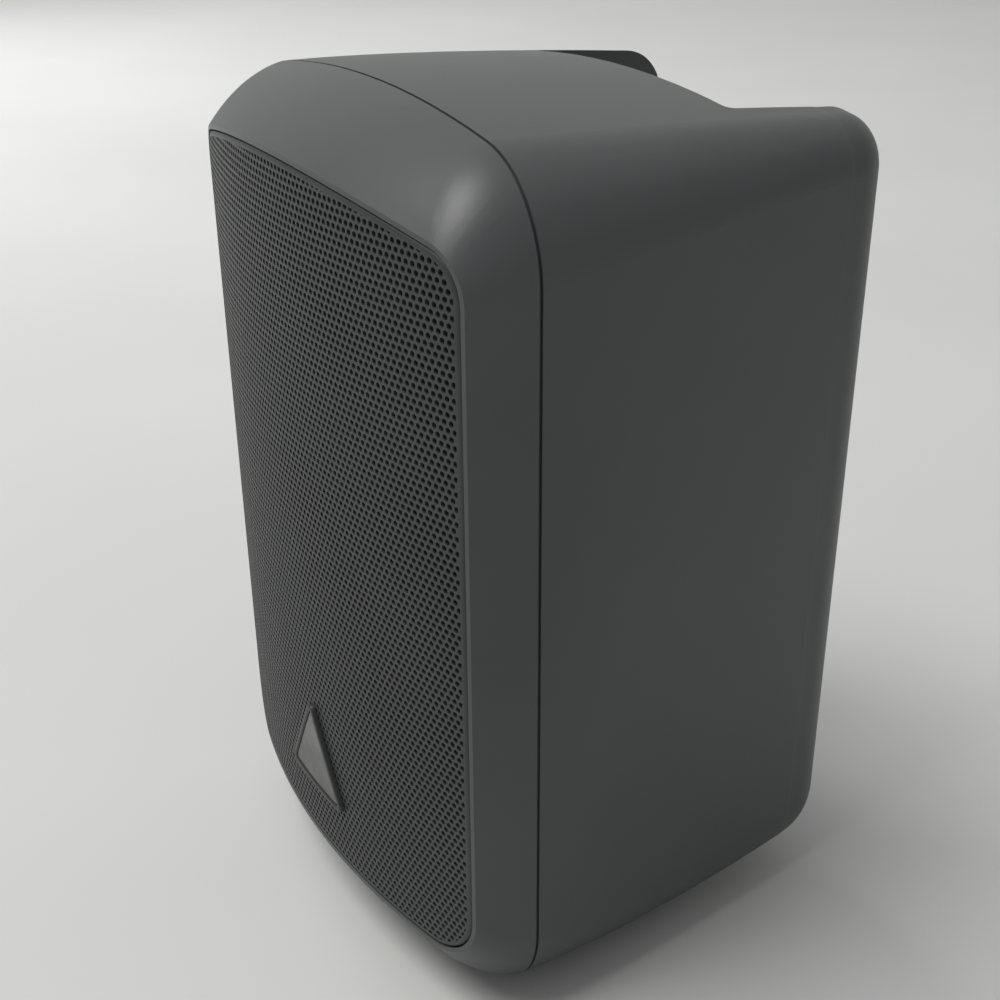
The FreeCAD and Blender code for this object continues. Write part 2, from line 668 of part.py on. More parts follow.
def badge_rim():
    rim = badge_triangle(0.0, -FRONT_REACH - OVER, BOARD_FRONT)
    rim = rim.cut(badge_triangle(BADGE_RIM, -FRONT_REACH - OVER - 1, BOARD_FRONT + 1))
    return biggest(rim.common(bow_solid(BADGE_PROUD, OVER)).cut(bow_solid(0.0, OVER)))


def badge_plate():
    plate = badge_triangle(BADGE_RIM, -FRONT_REACH - OVER, BOARD_FRONT)
    plate = plate.common(bow_solid(BADGE_PROUD - BADGE_PLATE_SUNK, OVER)).cut(bow_solid(0.0, OVER))
    for x, z in badge_stud_places():
        back = bow_depth(abs(x)) + BADGE_STUD_LENGTH
        stud = rod(BADGE_STUD_R, bow_depth(abs(x)) - 0.3, back, x, z)
        plate = plate.fuse(stud)
    return biggest(plate)


def badge_nuts():
    """Push nuts on the badge's studs, behind the sheet."""
    nuts = []
    for x, z in badge_stud_places():
        front = bow_depth(BADGE_WIDTH / 2) + SHEET
        nuts.append(ring(BADGE_NUT_R, BADGE_STUD_R, front, front + BADGE_NUT, x, z))
    return group(nuts)


# ================================================================ woofer
SEAL_FRONT = BOARD_FRONT - WOOFER_SEAL
FLANGE_FRONT = SEAL_FRONT - WOOFER_FLANGE
CONE_R = WOOFER_MOUTH_R - ROLL_SPAN
BASKET_BACK = SEAL_FRONT + WOOFER_BASKET_DEPTH
CONE_EDGE = FLANGE_FRONT + 0.6
CONE_NECK = CONE_EDGE + CONE_DEPTH
SPIDER_FRONT = CONE_NECK + SPIDER_DEPTH
GAP_START = BASKET_BACK
MAGNET_FRONT = GAP_START + TOP_PLATE
MAGNET_BACK = MAGNET_FRONT + MAGNET_LENGTH
COIL_OUTER_R = COIL_R + COIL_WALL
BASKET_NECK_R = SPIDER_R + 1.5
LUG_FRONT = BASKET_BACK - BASKET_WALL - 4
LUG_X = 5.0
LUG_SHEET = 0.8
LUG_LENGTH = 9.0


def woofer_screw_places():
    return around(WOOFER_SCREWS, WOOFER_SCREW_RING_R, WOOFER_Z, 45)


def woofer_seal():
    seal = ring(WOOFER_R - 1, WOOFER_MOUTH_R, SEAL_FRONT, BOARD_FRONT, 0, WOOFER_Z)
    for x, z in woofer_screw_places():
        seal = seal.cut(rod(SCREW_R, SEAL_FRONT - 1, BOARD_FRONT + 1, x, z))
    return seal


def woofer_basket():
    """Pressed frame: a flange, open sloping arms, a ledge for the spider and a seat for the magnet."""
    mouth = WOOFER_MOUTH_R - 1.0
    rim = WOOFER_MOUTH_R + ROLL_RIM + 0.3
    ledge = SPIDER_FRONT
    throat = SPIDER_R - SPIDER_LEDGE
    bore = COIL_OUTER_R + COIL_WIRE + COIL_GAP + 3
    inside = [(mouth - BASKET_WALL, CONE_EDGE), (mouth - BASKET_WALL, SEAL_FRONT + 1), (BASKET_NECK_R, ledge),
              (throat, ledge), (throat, BASKET_BACK - BASKET_WALL), (bore, BASKET_BACK - BASKET_WALL)]
    behind = [(bore, BASKET_BACK), (throat + BASKET_WALL, BASKET_BACK),
              (throat + BASKET_WALL, ledge + BASKET_WALL), (BASKET_NECK_R + BASKET_WALL, ledge + BASKET_WALL),
              (mouth, SEAL_FRONT + 2), (mouth, SEAL_FRONT)]
    flange = [(WOOFER_R, SEAL_FRONT), (WOOFER_R, FLANGE_FRONT), (rim, FLANGE_FRONT), (rim, CONE_EDGE)]
    profile = inside + behind + flange
    basket = turned(profile, 0, WOOFER_Z)
    window_start = SEAL_FRONT + 4
    window_end = ledge - 1
    for i in range(BASKET_WINDOWS):
        half = BASKET_WINDOW_WIDTH / 2
        low = WOOFER_Z + BASKET_NECK_R - 6
        wedge = box(-half, half, window_start, window_end, low, WOOFER_Z + WOOFER_R)
        wedge.rotate(place(0, 0, WOOFER_Z), Vector(0, 1, 0), 360 * (i + 0.5) / BASKET_WINDOWS)
        basket = basket.cut(wedge)
    for x, z in woofer_screw_places():
        basket = basket.cut(rod(SCREW_R, FLANGE_FRONT - 1, SEAL_FRONT + 1, x, z))
    return biggest(basket)


def woofer_cone():
    """Curved paper cone with a short neck that the coil former is glued into."""
    steps = 8
    curve = []
    for i in range(steps + 1):
        share = i / steps
        radius = CONE_R + (COIL_OUTER_R - CONE_R) * share
        curve.append((radius, CONE_EDGE + CONE_DEPTH * share**0.85))
    return turned_shell(curve, CONE_THICKNESS, 0, WOOFER_Z)


def roll_curve(inner, outer, depth, height, steps):
    """A half-round arch between two radii; it bulges towards the front."""
    middle = (inner + outer) / 2
    half = (outer - inner) / 2
    angles = [math.pi * i / steps for i in range(steps + 1)]
    return [(middle - half * math.cos(a), depth - height * math.sin(a)) for a in angles]


def woofer_surround():
    """Rubber half-roll, with one flat rim under the cone's edge and one on the basket."""
    rim = WOOFER_MOUTH_R + ROLL_RIM
    seat = CONE_EDGE - ROLL_THICKNESS
    roll = roll_curve(CONE_R, WOOFER_MOUTH_R, seat, ROLL_HEIGHT, 14)
    curve = [(CONE_R - ROLL_RIM, seat)] + roll + [(rim, seat)]
    surround = turned_shell(curve, ROLL_THICKNESS, 0, WOOFER_Z)
    return surround.cut(rod(CONE_R, CONE_EDGE, CONE_EDGE + 1, 0, WOOFER_Z)).cut(woofer_cone())


def woofer_dust_cap():
    base_r = COIL_OUTER_R + 3.0
    steps = 6
    base = CONE_EDGE + CONE_DEPTH * ((CONE_R - base_r) / (CONE_R - COIL_OUTER_R))**0.85
    angles = [math.pi / 2 * i / steps for i in range(steps + 1)]
    curve = [(base_r * math.cos(a), base - DUST_CAP_RISE * math.sin(a) - CONE_THICKNESS) for a in angles]
    curve[-1] = (0.0, curve[-1][1])
    return turned_shell(curve, CONE_THICKNESS, 0, WOOFER_Z).cut(woofer_cone())


def woofer_voice_coil():
    """Paper former with the winding around its end, which sits in the magnet's gap."""
    end = MAGNET_FRONT + 2.0
    former = ring(COIL_OUTER_R, COIL_R, CONE_NECK - 1.0, end, 0, WOOFER_Z)
    winding = ring(COIL_OUTER_R + COIL_WIRE, COIL_R, GAP_START - 1.5, end, 0, WOOFER_Z)
    return former.fuse(winding).removeSplitter().cut(woofer_cone())


def woofer_spider():
    """Corrugated cloth disc that centres the coil."""
    waves = 4
    steps = waves * 8
    curve = []
    for i in range(steps + 1):
        share = i / steps
        radius = COIL_OUTER_R + (SPIDER_R - SPIDER_RIM - COIL_OUTER_R) * share
        ripple = 0.9 * math.sin(2 * math.pi * waves * share) * min(1.0, 6 * share, 6 * (1 - share))
        curve.append((radius, SPIDER_FRONT - SPIDER_THICKNESS + ripple))
    curve.append((SPIDER_R, curve[-1][1]))
    return turned_shell(curve, SPIDER_THICKNESS, 0, WOOFER_Z)


def woofer_top_plate():
    return ring(PLATE_R, COIL_OUTER_R + COIL_WIRE + COIL_GAP, GAP_START, MAGNET_FRONT, 0, WOOFER_Z)


def woofer_magnet():
    magnet = ring(MAGNET_R, MAGNET_BORE_R, MAGNET_FRONT, MAGNET_BACK, 0, WOOFER_Z)
    rims = [e for e in magnet.Edges if abs(e.BoundBox.XMax - MAGNET_R) < 0.01 and len(e.Vertexes) == 1]
    return magnet.makeChamfer(1.0, rims)


def woofer_back_plate():
    """Back plate and vented pole, in one piece."""
    plate = rod(PLATE_R, MAGNET_BACK, MAGNET_BACK + BACK_PLATE, 0, WOOFER_Z)
    pole = rod(COIL_R - POLE_GAP, GAP_START, MAGNET_BACK + 1, 0, WOOFER_Z)
    vent = rod(POLE_VENT_R, GAP_START - 1, MAGNET_BACK + BACK_PLATE + 1, 0, WOOFER_Z)
    return plate.fuse(pole).cut(vent).removeSplitter()


def lug_foot():
    """Height at which the woofer's lugs leave the basket's rear ring."""
    radius = SPIDER_R - SPIDER_LEDGE + BASKET_WALL
    return WOOFER_Z + math.sqrt(radius**2 - LUG_X**2) - 0.4


def woofer_lugs():
    """Two solder lugs fixed to the basket's rear ring."""
    low = lug_foot()
    strips = [box(x - 1.5, x + 1.5, LUG_FRONT, LUG_FRONT + LUG_SHEET, low, low + LUG_LENGTH)
              for x in (-LUG_X, LUG_X)]
    return group(strips).cut(woofer_basket())


def woofer_screws():
    places = woofer_screw_places()
    return group([screw(x, z, FLANGE_FRONT, WOOFER_SCREW_LENGTH, SMALL_HEAD_R) for x, z in places])


# ================================================================ tweeter
T_FACE = BOARD_FRONT - TWEETER_FLANGE
T_DOME = BOARD_FRONT + 0.5
T_SEAT = T_DOME + 1.2
T_GAP_END = T_SEAT + TWEETER_COIL_LENGTH
T_MAGNET_BACK = T_GAP_END + TWEETER_MAGNET_LENGTH
T_BACK = T_MAGNET_BACK + TWEETER_BACK_PLATE
T_LUG_DOWN = 14.2
T_LUG_SHEET = 0.8
T_LUG_LENGTH = 6.0
T_SURROUND_R = DOME_R + 3.0
T_COIL_OUT = DOME_R + 0.3


def tweeter_screw_places():
    return around(TWEETER_SCREWS, TWEETER_SCREW_RING_R, TWEETER_Z, 90)


def tweeter_faceplate():
    """Moulded face with a shallow flare, and a sleeve that holds the motor."""
    sleeve = TWEETER_SEAT_R - 0.1
    profile = [
        (T_SURROUND_R, T_DOME - 0.3), (T_SURROUND_R + 4.5, T_FACE + 0.4), (T_SURROUND_R + 5.0, T_FACE),
        (TWEETER_R - 0.8, T_FACE), (TWEETER_R, T_FACE + 0.8), (TWEETER_R, BOARD_FRONT), (sleeve, BOARD_FRONT),
        (sleeve, T_SEAT), (T_SURROUND_R, T_SEAT),
    ]
    plate = turned(profile, 0, TWEETER_Z)
    for x, z in tweeter_screw_places():
        plate = plate.cut(rod(SCREW_R, T_FACE - 1, BOARD_FRONT + 1, x, z))
    return plate


def tweeter_dome():
    sphere_r = (DOME_R**2 + DOME_RISE**2) / (2 * DOME_RISE)
    reach = math.asin(DOME_R / sphere_r)
    steps = 8
    angles = [reach * (1 - i / steps) for i in range(steps + 1)]
    tip = T_DOME - DOME_RISE
    curve = [(sphere_r * math.sin(a), tip + sphere_r * (1 - math.cos(a))) for a in angles]
    curve[-1] = (0.0, tip)
    return turned_shell(curve, DOME_THICKNESS, 0, TWEETER_Z)


def tweeter_surround():
    curve = roll_curve(DOME_R, T_SURROUND_R - 0.4, T_DOME, 1.0, 8)
    return turned_shell(curve, DOME_THICKNESS, 0, TWEETER_Z).cut(tweeter_dome())


def tweeter_voice_coil():
    return ring(DOME_R, DOME_R - 0.3, T_DOME + DOME_THICKNESS, T_GAP_END - 1, 0, TWEETER_Z)


def tweeter_top_plate():
    return ring(TWEETER_MAGNET_R, T_COIL_OUT + 0.2, T_SEAT, T_GAP_END, 0, TWEETER_Z)


def tweeter_magnet():
    return ring(TWEETER_MAGNET_R, DOME_R + 2.0, T_GAP_END, T_MAGNET_BACK, 0, TWEETER_Z)


def tweeter_pole():
    plate = rod(TWEETER_MAGNET_R, T_MAGNET_BACK, T_BACK, 0, TWEETER_Z)
    pole = rod(DOME_R - 0.3 - 0.4, T_SEAT, T_MAGNET_BACK + 1, 0, TWEETER_Z)
    return plate.fuse(pole).removeSplitter()


def tweeter_lugs():
    """Two bent lugs on the back of the motor."""
    lugs = []
    low = TWEETER_Z - T_LUG_DOWN - T_LUG_SHEET
    for x in (-6.0, 6.0):
        foot = box(x - 1.5, x + 1.5, T_BACK, T_BACK + T_LUG_SHEET, low, low + 9)
        blade = box(x - 1.5, x + 1.5, T_BACK, T_BACK + T_LUG_LENGTH, low, low + T_LUG_SHEET)
        lugs.append(foot.fuse(blade).removeSplitter())
    return group(lugs)


def tweeter_screws():
    return group([screw(x, z, T_FACE, TWEETER_SCREW_LENGTH, SMALL_HEAD_R) for x, z in tweeter_screw_places()])


# ================================================================ terminals
CUP_BACK = CHANNEL_FLOOR - CUP_DEPTH
PIVOT_DEPTH = CHANNEL_FLOOR - LEVER_PIN_SUNK
PIVOT_Z = CUP_Z + CUP_HEIGHT / 2 - LEVER_PIN_DOWN
WIRE_SOCKET_Z = CUP_Z - CUP_HEIGHT / 2 + WIRE_SOCKET_UP
TERMINALS = {"red": TERMINAL_SPACING / 2, "black": -TERMINAL_SPACING / 2}


def cup_block(shrink, d0, d1):
    """A block with the recess's outline, drawn in by shrink."""
    half = CUP_WIDTH / 2 + CUP_WALL - shrink
    tall = CUP_HEIGHT / 2 + CUP_WALL - shrink
    block = box(-half, half, d0, d1, CUP_Z - tall, CUP_Z + tall)
    along = [e for e in block.Edges if abs(e.tangentAt(e.FirstParameter).y) > 0.99]
    return block.makeFillet(max(CUP_CORNER_R - shrink, 0.5), along)


def cup_screw_places():
    x = CUP_WIDTH / 2 + CUP_WALL + CUP_FLANGE_OVERLAP / 2
    z = CUP_HEIGHT / 2 - 4
    return [(sx * x, CUP_Z + sz * z) for sx in (-1, 1) for sz in (-1, 1)]


def lever_pin(x):
    half = LEVER_WIDTH / 2 + LEVER_SIDE_GAP + CHEEK
    return Part.makeCylinder(LEVER_PIN_R, 2 * half, place(x - half, PIVOT_DEPTH, PIVOT_Z), Vector(1, 0, 0))


def terminal_cup():
    """Recessed plate with a flange, cheeks for the lever pins and two tapered wire sockets."""
    cup = cup_block(0.0, CUP_BACK - CUP_WALL, CHANNEL_FLOOR)
    cup = cup.fuse(cup_block(-CUP_FLANGE_OVERLAP, CHANNEL_FLOOR, CHANNEL_FLOOR + CUP_FLANGE))
    cup = cup.cut(cup_block(CUP_WALL, CUP_BACK, CHANNEL_FLOOR + CUP_FLANGE + 1))
    for x in TERMINALS.values():
        for side in (-1, 1):
            near = x + side * (LEVER_WIDTH / 2 + LEVER_SIDE_GAP)
            far = near + side * CHEEK
            top = CUP_Z + CUP_HEIGHT / 2 + 1
            cheek = box(min(near, far), max(near, far), CUP_BACK - 1, CHANNEL_FLOOR - 1, PIVOT_Z - 3, top)
            cup = cup.fuse(cheek)
        socket_end = CUP_BACK + WIRE_SOCKET_LENGTH
        socket = box(x - WIRE_SOCKET_HALF_WIDTH, x + WIRE_SOCKET_HALF_WIDTH, CUP_BACK - 1, socket_end,
                     WIRE_SOCKET_Z - WIRE_SOCKET_HALF_HEIGHT, WIRE_SOCKET_Z + WIRE_SOCKET_HALF_HEIGHT)
        cup = cup.fuse(socket)
        cup = cup.cut(rod(WIRE_SOCKET_R, CUP_BACK, socket_end + 1, x, WIRE_SOCKET_Z))
        cup = cup.cut(rod(PIN_R, CUP_BACK - CUP_WALL - 1, CUP_BACK + 1, x, WIRE_SOCKET_Z))
        cup = cup.cut(lever_pin(x))
    for x, z in cup_screw_places():
        cup = cup.cut(rod(SCREW_R, CHANNEL_FLOOR - 1, CHANNEL_FLOOR + CUP_FLANGE + 1, x, z))
    return biggest(cup)


def lever_pins():
    return group([lever_pin(x) for x in TERMINALS.values()])


def push_lever(x):
    """Flat lever hinged at its top, with a rounded knuckle and a finger tab at its free end."""
    half = LEVER_WIDTH / 2
    thick = LEVER_THICKNESS / 2
    knuckle_r = LEVER_PIN_R + LEVER_KNUCKLE_WALL
    front = PIVOT_DEPTH - thick
    plate = box(x - half, x + half, front, PIVOT_DEPTH + thick, PIVOT_Z - LEVER_LENGTH, PIVOT_Z)
    end = place(x - half, PIVOT_DEPTH, PIVOT_Z)
    knuckle = Part.makeCylinder(knuckle_r, LEVER_WIDTH, end, Vector(1, 0, 0))
    low = PIVOT_Z - LEVER_LENGTH
    tab = box(x - half, x + half, PIVOT_DEPTH, CHANNEL_FLOOR + CUP_FLANGE - 1.0, low, low + LEVER_TAB)
    rims = [e for e in tab.Edges if abs(e.BoundBox.YMin - tab.BoundBox.YMax) < 0.01]
    tab = tab.makeFillet(0.9, rims)
    lever = plate.fuse(tab).fuse(knuckle)
    bore_r = LEVER_PIN_R + LEVER_BORE_CLEARANCE
    bore_end = end - Vector(1, 0, 0)
    bore = Part.makeCylinder(bore_r, LEVER_WIDTH + 2, bore_end, Vector(1, 0, 0))
    return lever.cut(bore).removeSplitter()


def leaf_spring(x):
    """Bent strip between the recess's floor and the lever's back; it is also the contact."""
    half = 3.0
    foot_z = PIVOT_Z - LEVER_LENGTH + 9.0
    tip_z = PIVOT_Z - LEVER_LENGTH + 3.0
    behind = PIVOT_DEPTH - LEVER_THICKNESS / 2
    profile = [(CUP_BACK, foot_z + 3), (CUP_BACK + LEAF, foot_z + 3), (CUP_BACK + LEAF, foot_z),
               (behind, tip_z), (behind - LEAF, tip_z - 0.3), (CUP_BACK, foot_z - 0.6)]
    points = [place(x - half, depth, z) for depth, z in profile]
    return Part.Face(Part.makePolygon(points + points[:1])).extrude(Vector(2 * half, 0, 0))


def contact_pins():
    """Tinned pins that carry each terminal through to the crossover board."""
    front = BOARD_REAR - BOARD_SHEET - 1.5
    return group([rod(PIN_R, front, CUP_BACK + 1.0, x, WIRE_SOCKET_Z) for x in TERMINALS.values()])


def terminal_screws():
    """Screws of the terminal cup, driven forward from the channel."""
    screws = []
    for x, z in cup_screw_places():
        seat = CHANNEL_FLOOR + CUP_FLANGE
        head = rod(CUP_SCREW_HEAD_R, seat, seat + CUP_SCREW_HEAD, x, z)
        slot = rod(CUP_SCREW_HEAD_R / 3, seat + CUP_SCREW_HEAD / 2, seat + CUP_SCREW_HEAD + 1, x, z)
        shank = rod(SCREW_R, CHANNEL_SKIN - 3, seat, x, z)
        screws.append(head.cut(slot).fuse(shank).removeSplitter())
    return group(screws)


# ================================================================ crossover
BOARD_REAR = CHANNEL_SKIN - BOARD_STANDOFF
BOARD_FACE = BOARD_REAR - BOARD_SHEET


def standoff_places():
    return [(sx * STANDOFF_X, CUP_Z + sz * STANDOFF_Z) for sx in (-1, 1) for sz in (-1, 1)]


def crossover_board():
    board = box(-BOARD_WIDTH / 2, BOARD_WIDTH / 2, BOARD_FACE, BOARD_REAR,
                CUP_Z - BOARD_HEIGHT / 2, CUP_Z + BOARD_HEIGHT / 2)
    for x, z in standoff_places():
        board = board.cut(rod(SCREW_R, BOARD_FACE - 1, BOARD_REAR + 1, x, z))
    for x in TERMINALS.values():
        board = board.cut(rod(PIN_R, BOARD_FACE - 1, BOARD_REAR + 1, x, WIRE_SOCKET_Z))
    return board


def crossover_standoffs():
    return group([ring(STANDOFF_R, SCREW_R, BOARD_REAR, CHANNEL_SKIN, x, z) for x, z in standoff_places()])


def crossover_screws():
    length = BOARD_SHEET + BOARD_STANDOFF + STANDOFF_SCREW_IN
    return group([screw(x, z, BOARD_FACE, length, SMALL_HEAD_R) for x, z in standoff_places()])


def inductor(x, z, outer, inner, length):
    """Air-core coil standing on the board, with end cheeks."""
    front = BOARD_FACE - length
    coil = ring(outer - 1.5, inner, front, BOARD_FACE, x, z)
    for start in (front, BOARD_FACE - 1.2):
        coil = coil.fuse(ring(outer, inner, start, start + 1.2, x, z))
    return coil.removeSplitter()


def capacitor(x, z, radius, length):
    """Upright can with a rolled groove near its foot."""
    front = BOARD_FACE - length
    can = rod(radius, front, BOARD_FACE, x, z)
    return can.cut(ring(radius + 1, radius - 0.5, BOARD_FACE - 3, BOARD_FACE - 2, x, z))


def resistor():
    """Cement block lying on the board."""
    low = CUP_Z - RESISTOR_DOWN
    front = BOARD_FACE - RESISTOR_SIDE
    return box(RESISTOR_X, RESISTOR_X + RESISTOR_LENGTH, front, BOARD_FACE, low, low + RESISTOR_SIDE)


def protection_lamp():
    """Tweeter protection lamp: a small glass tube with metal caps, lying on the board."""
    start = place(LAMP_X, BOARD_FACE - LAMP_R, CUP_Z - LAMP_DOWN)
    glass_start = start + Vector(LAMP_CAP, 0, 0)
    glass_length = LAMP_LENGTH - 2 * LAMP_CAP
    lamp = Part.makeCylinder(LAMP_R, LAMP_LENGTH, start, Vector(1, 0, 0))
    waist = Part.makeCylinder(LAMP_R + 1, glass_length, glass_start, Vector(1, 0, 0))
    glass = Part.makeCylinder(LAMP_R - 0.3, glass_length, glass_start, Vector(1, 0, 0))
    return lamp.cut(waist.cut(glass))


# ================================================================ damping and leads
def damping_pad(side, cavity):
    """Foam pad glued to the side wall, clear of the basket."""
    inner = shell_outline(PAD_END).half - WALL - PAD_THICKNESS
    pad = box(inner, WIDTH / 2, PAD_START, PAD_END, PAD_LOW_Z, PAD_HIGH_Z).common(cavity)
    if side < 0:
        pad = pad.mirror(Vector(0, 0, 0), Vector(1, 0, 0))
    return pad


def woofer_lead(side):
    """From the crossover board's lower edge down to the end of a woofer lug."""
    lug_end = lug_foot() + LUG_LENGTH
    along = LUG_FRONT + LUG_SHEET / 2
    return lead([(side * LUG_X, along, lug_end), (side * LUG_X, along, lug_end + 9),
                 (side * 9, BOARD_FACE - 12, CUP_Z - 24), (side * 5, BOARD_FACE - 8, CUP_Z - 17),
                 (side * 5, BOARD_FACE, CUP_Z - 17)])


def tweeter_lead(side):
    """From the crossover board forward to a tweeter lug."""
    lug_depth = T_BACK + T_LUG_LENGTH
    lug_z = TWEETER_Z - T_LUG_DOWN - T_LUG_SHEET / 2
    return lead([(side * 6, lug_depth, lug_z), (side * 6, lug_depth + 8, lug_z),
                 (side * 4, BOARD_FACE - 10, CUP_Z - 6), (side * 4, BOARD_FACE, CUP_Z - 6)])


# ================================================================ assembly
def build():
    outer = shell_loft(0.0, 0.0)
    cavity = shell_loft(WALL, -1.0).cut(channel_cut(WALL))
    parts = {
        "rear_enclosure": rear_enclosure(outer, cavity),
        "cabinet_gasket": cabinet_gasket(),
        "bracket_inserts": bracket_inserts(),
        "rubber_feet": rubber_feet(outer),
        "front_baffle": front_baffle(),
        "cabinet_screws": cabinet_screws(),
        "port_tube_left": port_tube(-PORT_X),
        "port_tube_right": port_tube(PORT_X),
        "grille": grille(),
        "grille_cloth": grille_cloth(),
        "grille_pegs": grille_pegs(),
        "grille_sockets": grille_sockets(),
        "badge_rim": badge_rim(),
        "badge_plate": badge_plate(),
        "badge_nuts": badge_nuts(),
        "woofer_seal": woofer_seal(),
        "woofer_basket": woofer_basket(),
        "woofer_surround": woofer_surround(),
        "woofer_cone": woofer_cone(),
        "woofer_dust_cap": woofer_dust_cap(),
        "woofer_voice_coil": woofer_voice_coil(),
        "woofer_spider": woofer_spider(),
        "woofer_top_plate": woofer_top_plate(),
        "woofer_magnet": woofer_magnet(),
        "woofer_back_plate": woofer_back_plate(),
        "woofer_lugs": woofer_lugs(),
        "woofer_screws": woofer_screws(),
        "tweeter_faceplate": tweeter_faceplate(),
        "tweeter_dome": tweeter_dome(),
        "tweeter_surround": tweeter_surround(),
        "tweeter_voice_coil": tweeter_voice_coil(),
        "tweeter_top_plate": tweeter_top_plate(),
        "tweeter_magnet": tweeter_magnet(),
        "tweeter_pole": tweeter_pole(),
        "tweeter_lugs": tweeter_lugs(),
        "tweeter_screws": tweeter_screws(),
        "terminal_cup": terminal_cup(),
        "terminal_screws": terminal_screws(),
        "lever_pins": lever_pins(),
        "contact_pins": contact_pins(),
        "crossover_board": crossover_board(),
        "crossover_standoffs": crossover_standoffs(),
        "crossover_screws": crossover_screws(),
        "woofer_inductor": inductor(-22, CUP_Z + 10, 12.0, 5.0, 16.0),
        "tweeter_inductor": inductor(23, CUP_Z + 11, 9.0, 3.5, 12.0),
        "woofer_capacitor": capacitor(2, CUP_Z + 15, 5.0, 18.0),
        "tweeter_capacitor": capacitor(6, CUP_Z + 4, 4.0, 14.0),
        "crossover_resistor": resistor(),
        "protection_lamp": protection_lamp(),
        "damping_pad_left": damping_pad(-1, cavity),
        "damping_pad_right": damping_pad(1, cavity),
        "woofer_lead_red": woofer_lead(1),
        "woofer_lead_black": woofer_lead(-1),
        "tweeter_lead_red": tweeter_lead(1),
        "tweeter_lead_black": tweeter_lead(-1),
    }
    for colour, x in TERMINALS.items():
        parts["push_lever_" + colour] = push_lever(x)
        parts["leaf_spring_" + colour] = leaf_spring(x)
    return parts


os.makedirs("parts", exist_ok=True)
total = FreeCAD.BoundBox()
for name, shape in build().items():
    shape.exportStep("parts/%s.step" % name)
    total.add(shape.BoundBox)
    print("%-22s solids %d valid %s volume %.0f" % (name, len(shape.Solids), shape.isValid(), shape.Volume))
print("box", total)
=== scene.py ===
# %% [markdown]
# # A compact loudspeaker, dressed in Blender
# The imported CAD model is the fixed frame: it gives every piece its place and size. This script adds what CAD leaves
# out: the perforated sheet of the grille, real screw heads, moulded grain, paint, paper, rubber, cloth and metal.

import json
import math

import bmesh
import bpy
from mathutils import Matrix, Vector, kdtree


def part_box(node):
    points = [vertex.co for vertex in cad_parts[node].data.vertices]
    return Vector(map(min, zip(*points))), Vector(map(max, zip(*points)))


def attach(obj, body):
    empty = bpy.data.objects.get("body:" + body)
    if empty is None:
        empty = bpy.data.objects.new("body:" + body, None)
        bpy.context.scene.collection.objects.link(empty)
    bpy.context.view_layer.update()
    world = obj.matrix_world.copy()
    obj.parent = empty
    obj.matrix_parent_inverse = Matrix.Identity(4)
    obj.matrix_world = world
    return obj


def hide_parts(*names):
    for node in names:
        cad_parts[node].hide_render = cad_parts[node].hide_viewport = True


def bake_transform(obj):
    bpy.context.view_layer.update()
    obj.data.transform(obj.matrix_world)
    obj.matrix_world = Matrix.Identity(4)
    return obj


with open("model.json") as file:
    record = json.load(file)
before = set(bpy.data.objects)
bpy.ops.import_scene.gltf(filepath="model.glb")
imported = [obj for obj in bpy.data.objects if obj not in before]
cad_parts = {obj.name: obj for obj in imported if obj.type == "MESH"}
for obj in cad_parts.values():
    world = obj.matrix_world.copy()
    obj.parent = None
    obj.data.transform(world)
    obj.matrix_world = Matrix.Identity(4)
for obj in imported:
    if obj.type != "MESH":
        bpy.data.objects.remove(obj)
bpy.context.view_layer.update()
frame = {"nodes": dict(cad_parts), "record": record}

# %% [markdown]
# ## The camera
# The camera stands close, above and to the right of the front, with a moderately long lens. A small shift of the
# lens frames the cabinet without turning the camera, so upright edges converge just as much as they should.

# %% Camera
CAMERA_PLACE = Vector((0.3502, -0.2080, 0.3106))
CAMERA_TURN = math.radians(60.96)
CAMERA_DOWN = math.radians(29.22)
CAMERA_ROLL = math.radians(0.69)
LENS = 56.27
LENS_SHIFT = (0.0118, 0.0976)

camera = bpy.data.objects.new("camera", bpy.data.cameras.new("camera"))
bpy.context.scene.collection.objects.link(camera)
camera.data.lens = LENS
camera.data.sensor_width = 36.0
camera.data.shift_x, camera.data.shift_y = LENS_SHIFT
camera.data.clip_start = 0.01
turn = Matrix.Rotation(CAMERA_TURN, 4, "Z") @ Matrix.Rotation(math.pi / 2 - CAMERA_DOWN, 4, "X")
camera.matrix_world = Matrix.Translation(CAMERA_PLACE) @ turn @ Matrix.Rotation(-CAMERA_ROLL, 4, "Z")
bpy.context.scene.camera = camera
print("camera at", CAMERA_PLACE[:])

# %% [markdown]
# ## Floor and light
# A plain pale floor that sweeps up into a pale wall behind and to the left, one big soft light high up and in front,
# and a weak one from the left that no surface mirrors. The high light's reflection lands on the bezel's upper
# corners, and its distance keeps the floor evenly lit. The wall is what the top and the grille reflect at a glancing
# angle. The side that faces right has no light of its own, only a grey world and what the floor throws back, so it
# stays the darkest.

# %% Floor and light
FLOOR_HALF = 4.0
WALL_DISTANCE = 1.9
WALL_HEIGHT = 1.7
WALL_FOOT = 0.5
WALL_FOOT_STEPS = 10
WALL_TURN = (math.radians(85), math.radians(200))
WALL_TURN_STEPS = 40
WALL_OFF_FLOOR = 0.0005


def stage_piece(name, points, faces):
    """A piece of the studio, which is not part of the object."""
    mesh = bpy.data.meshes.new(name)
    mesh.from_pydata(points, [], faces)
    mesh.shade_smooth()
    piece = bpy.data.objects.new(name, mesh)
    bpy.context.scene.collection.objects.link(piece)
    return piece


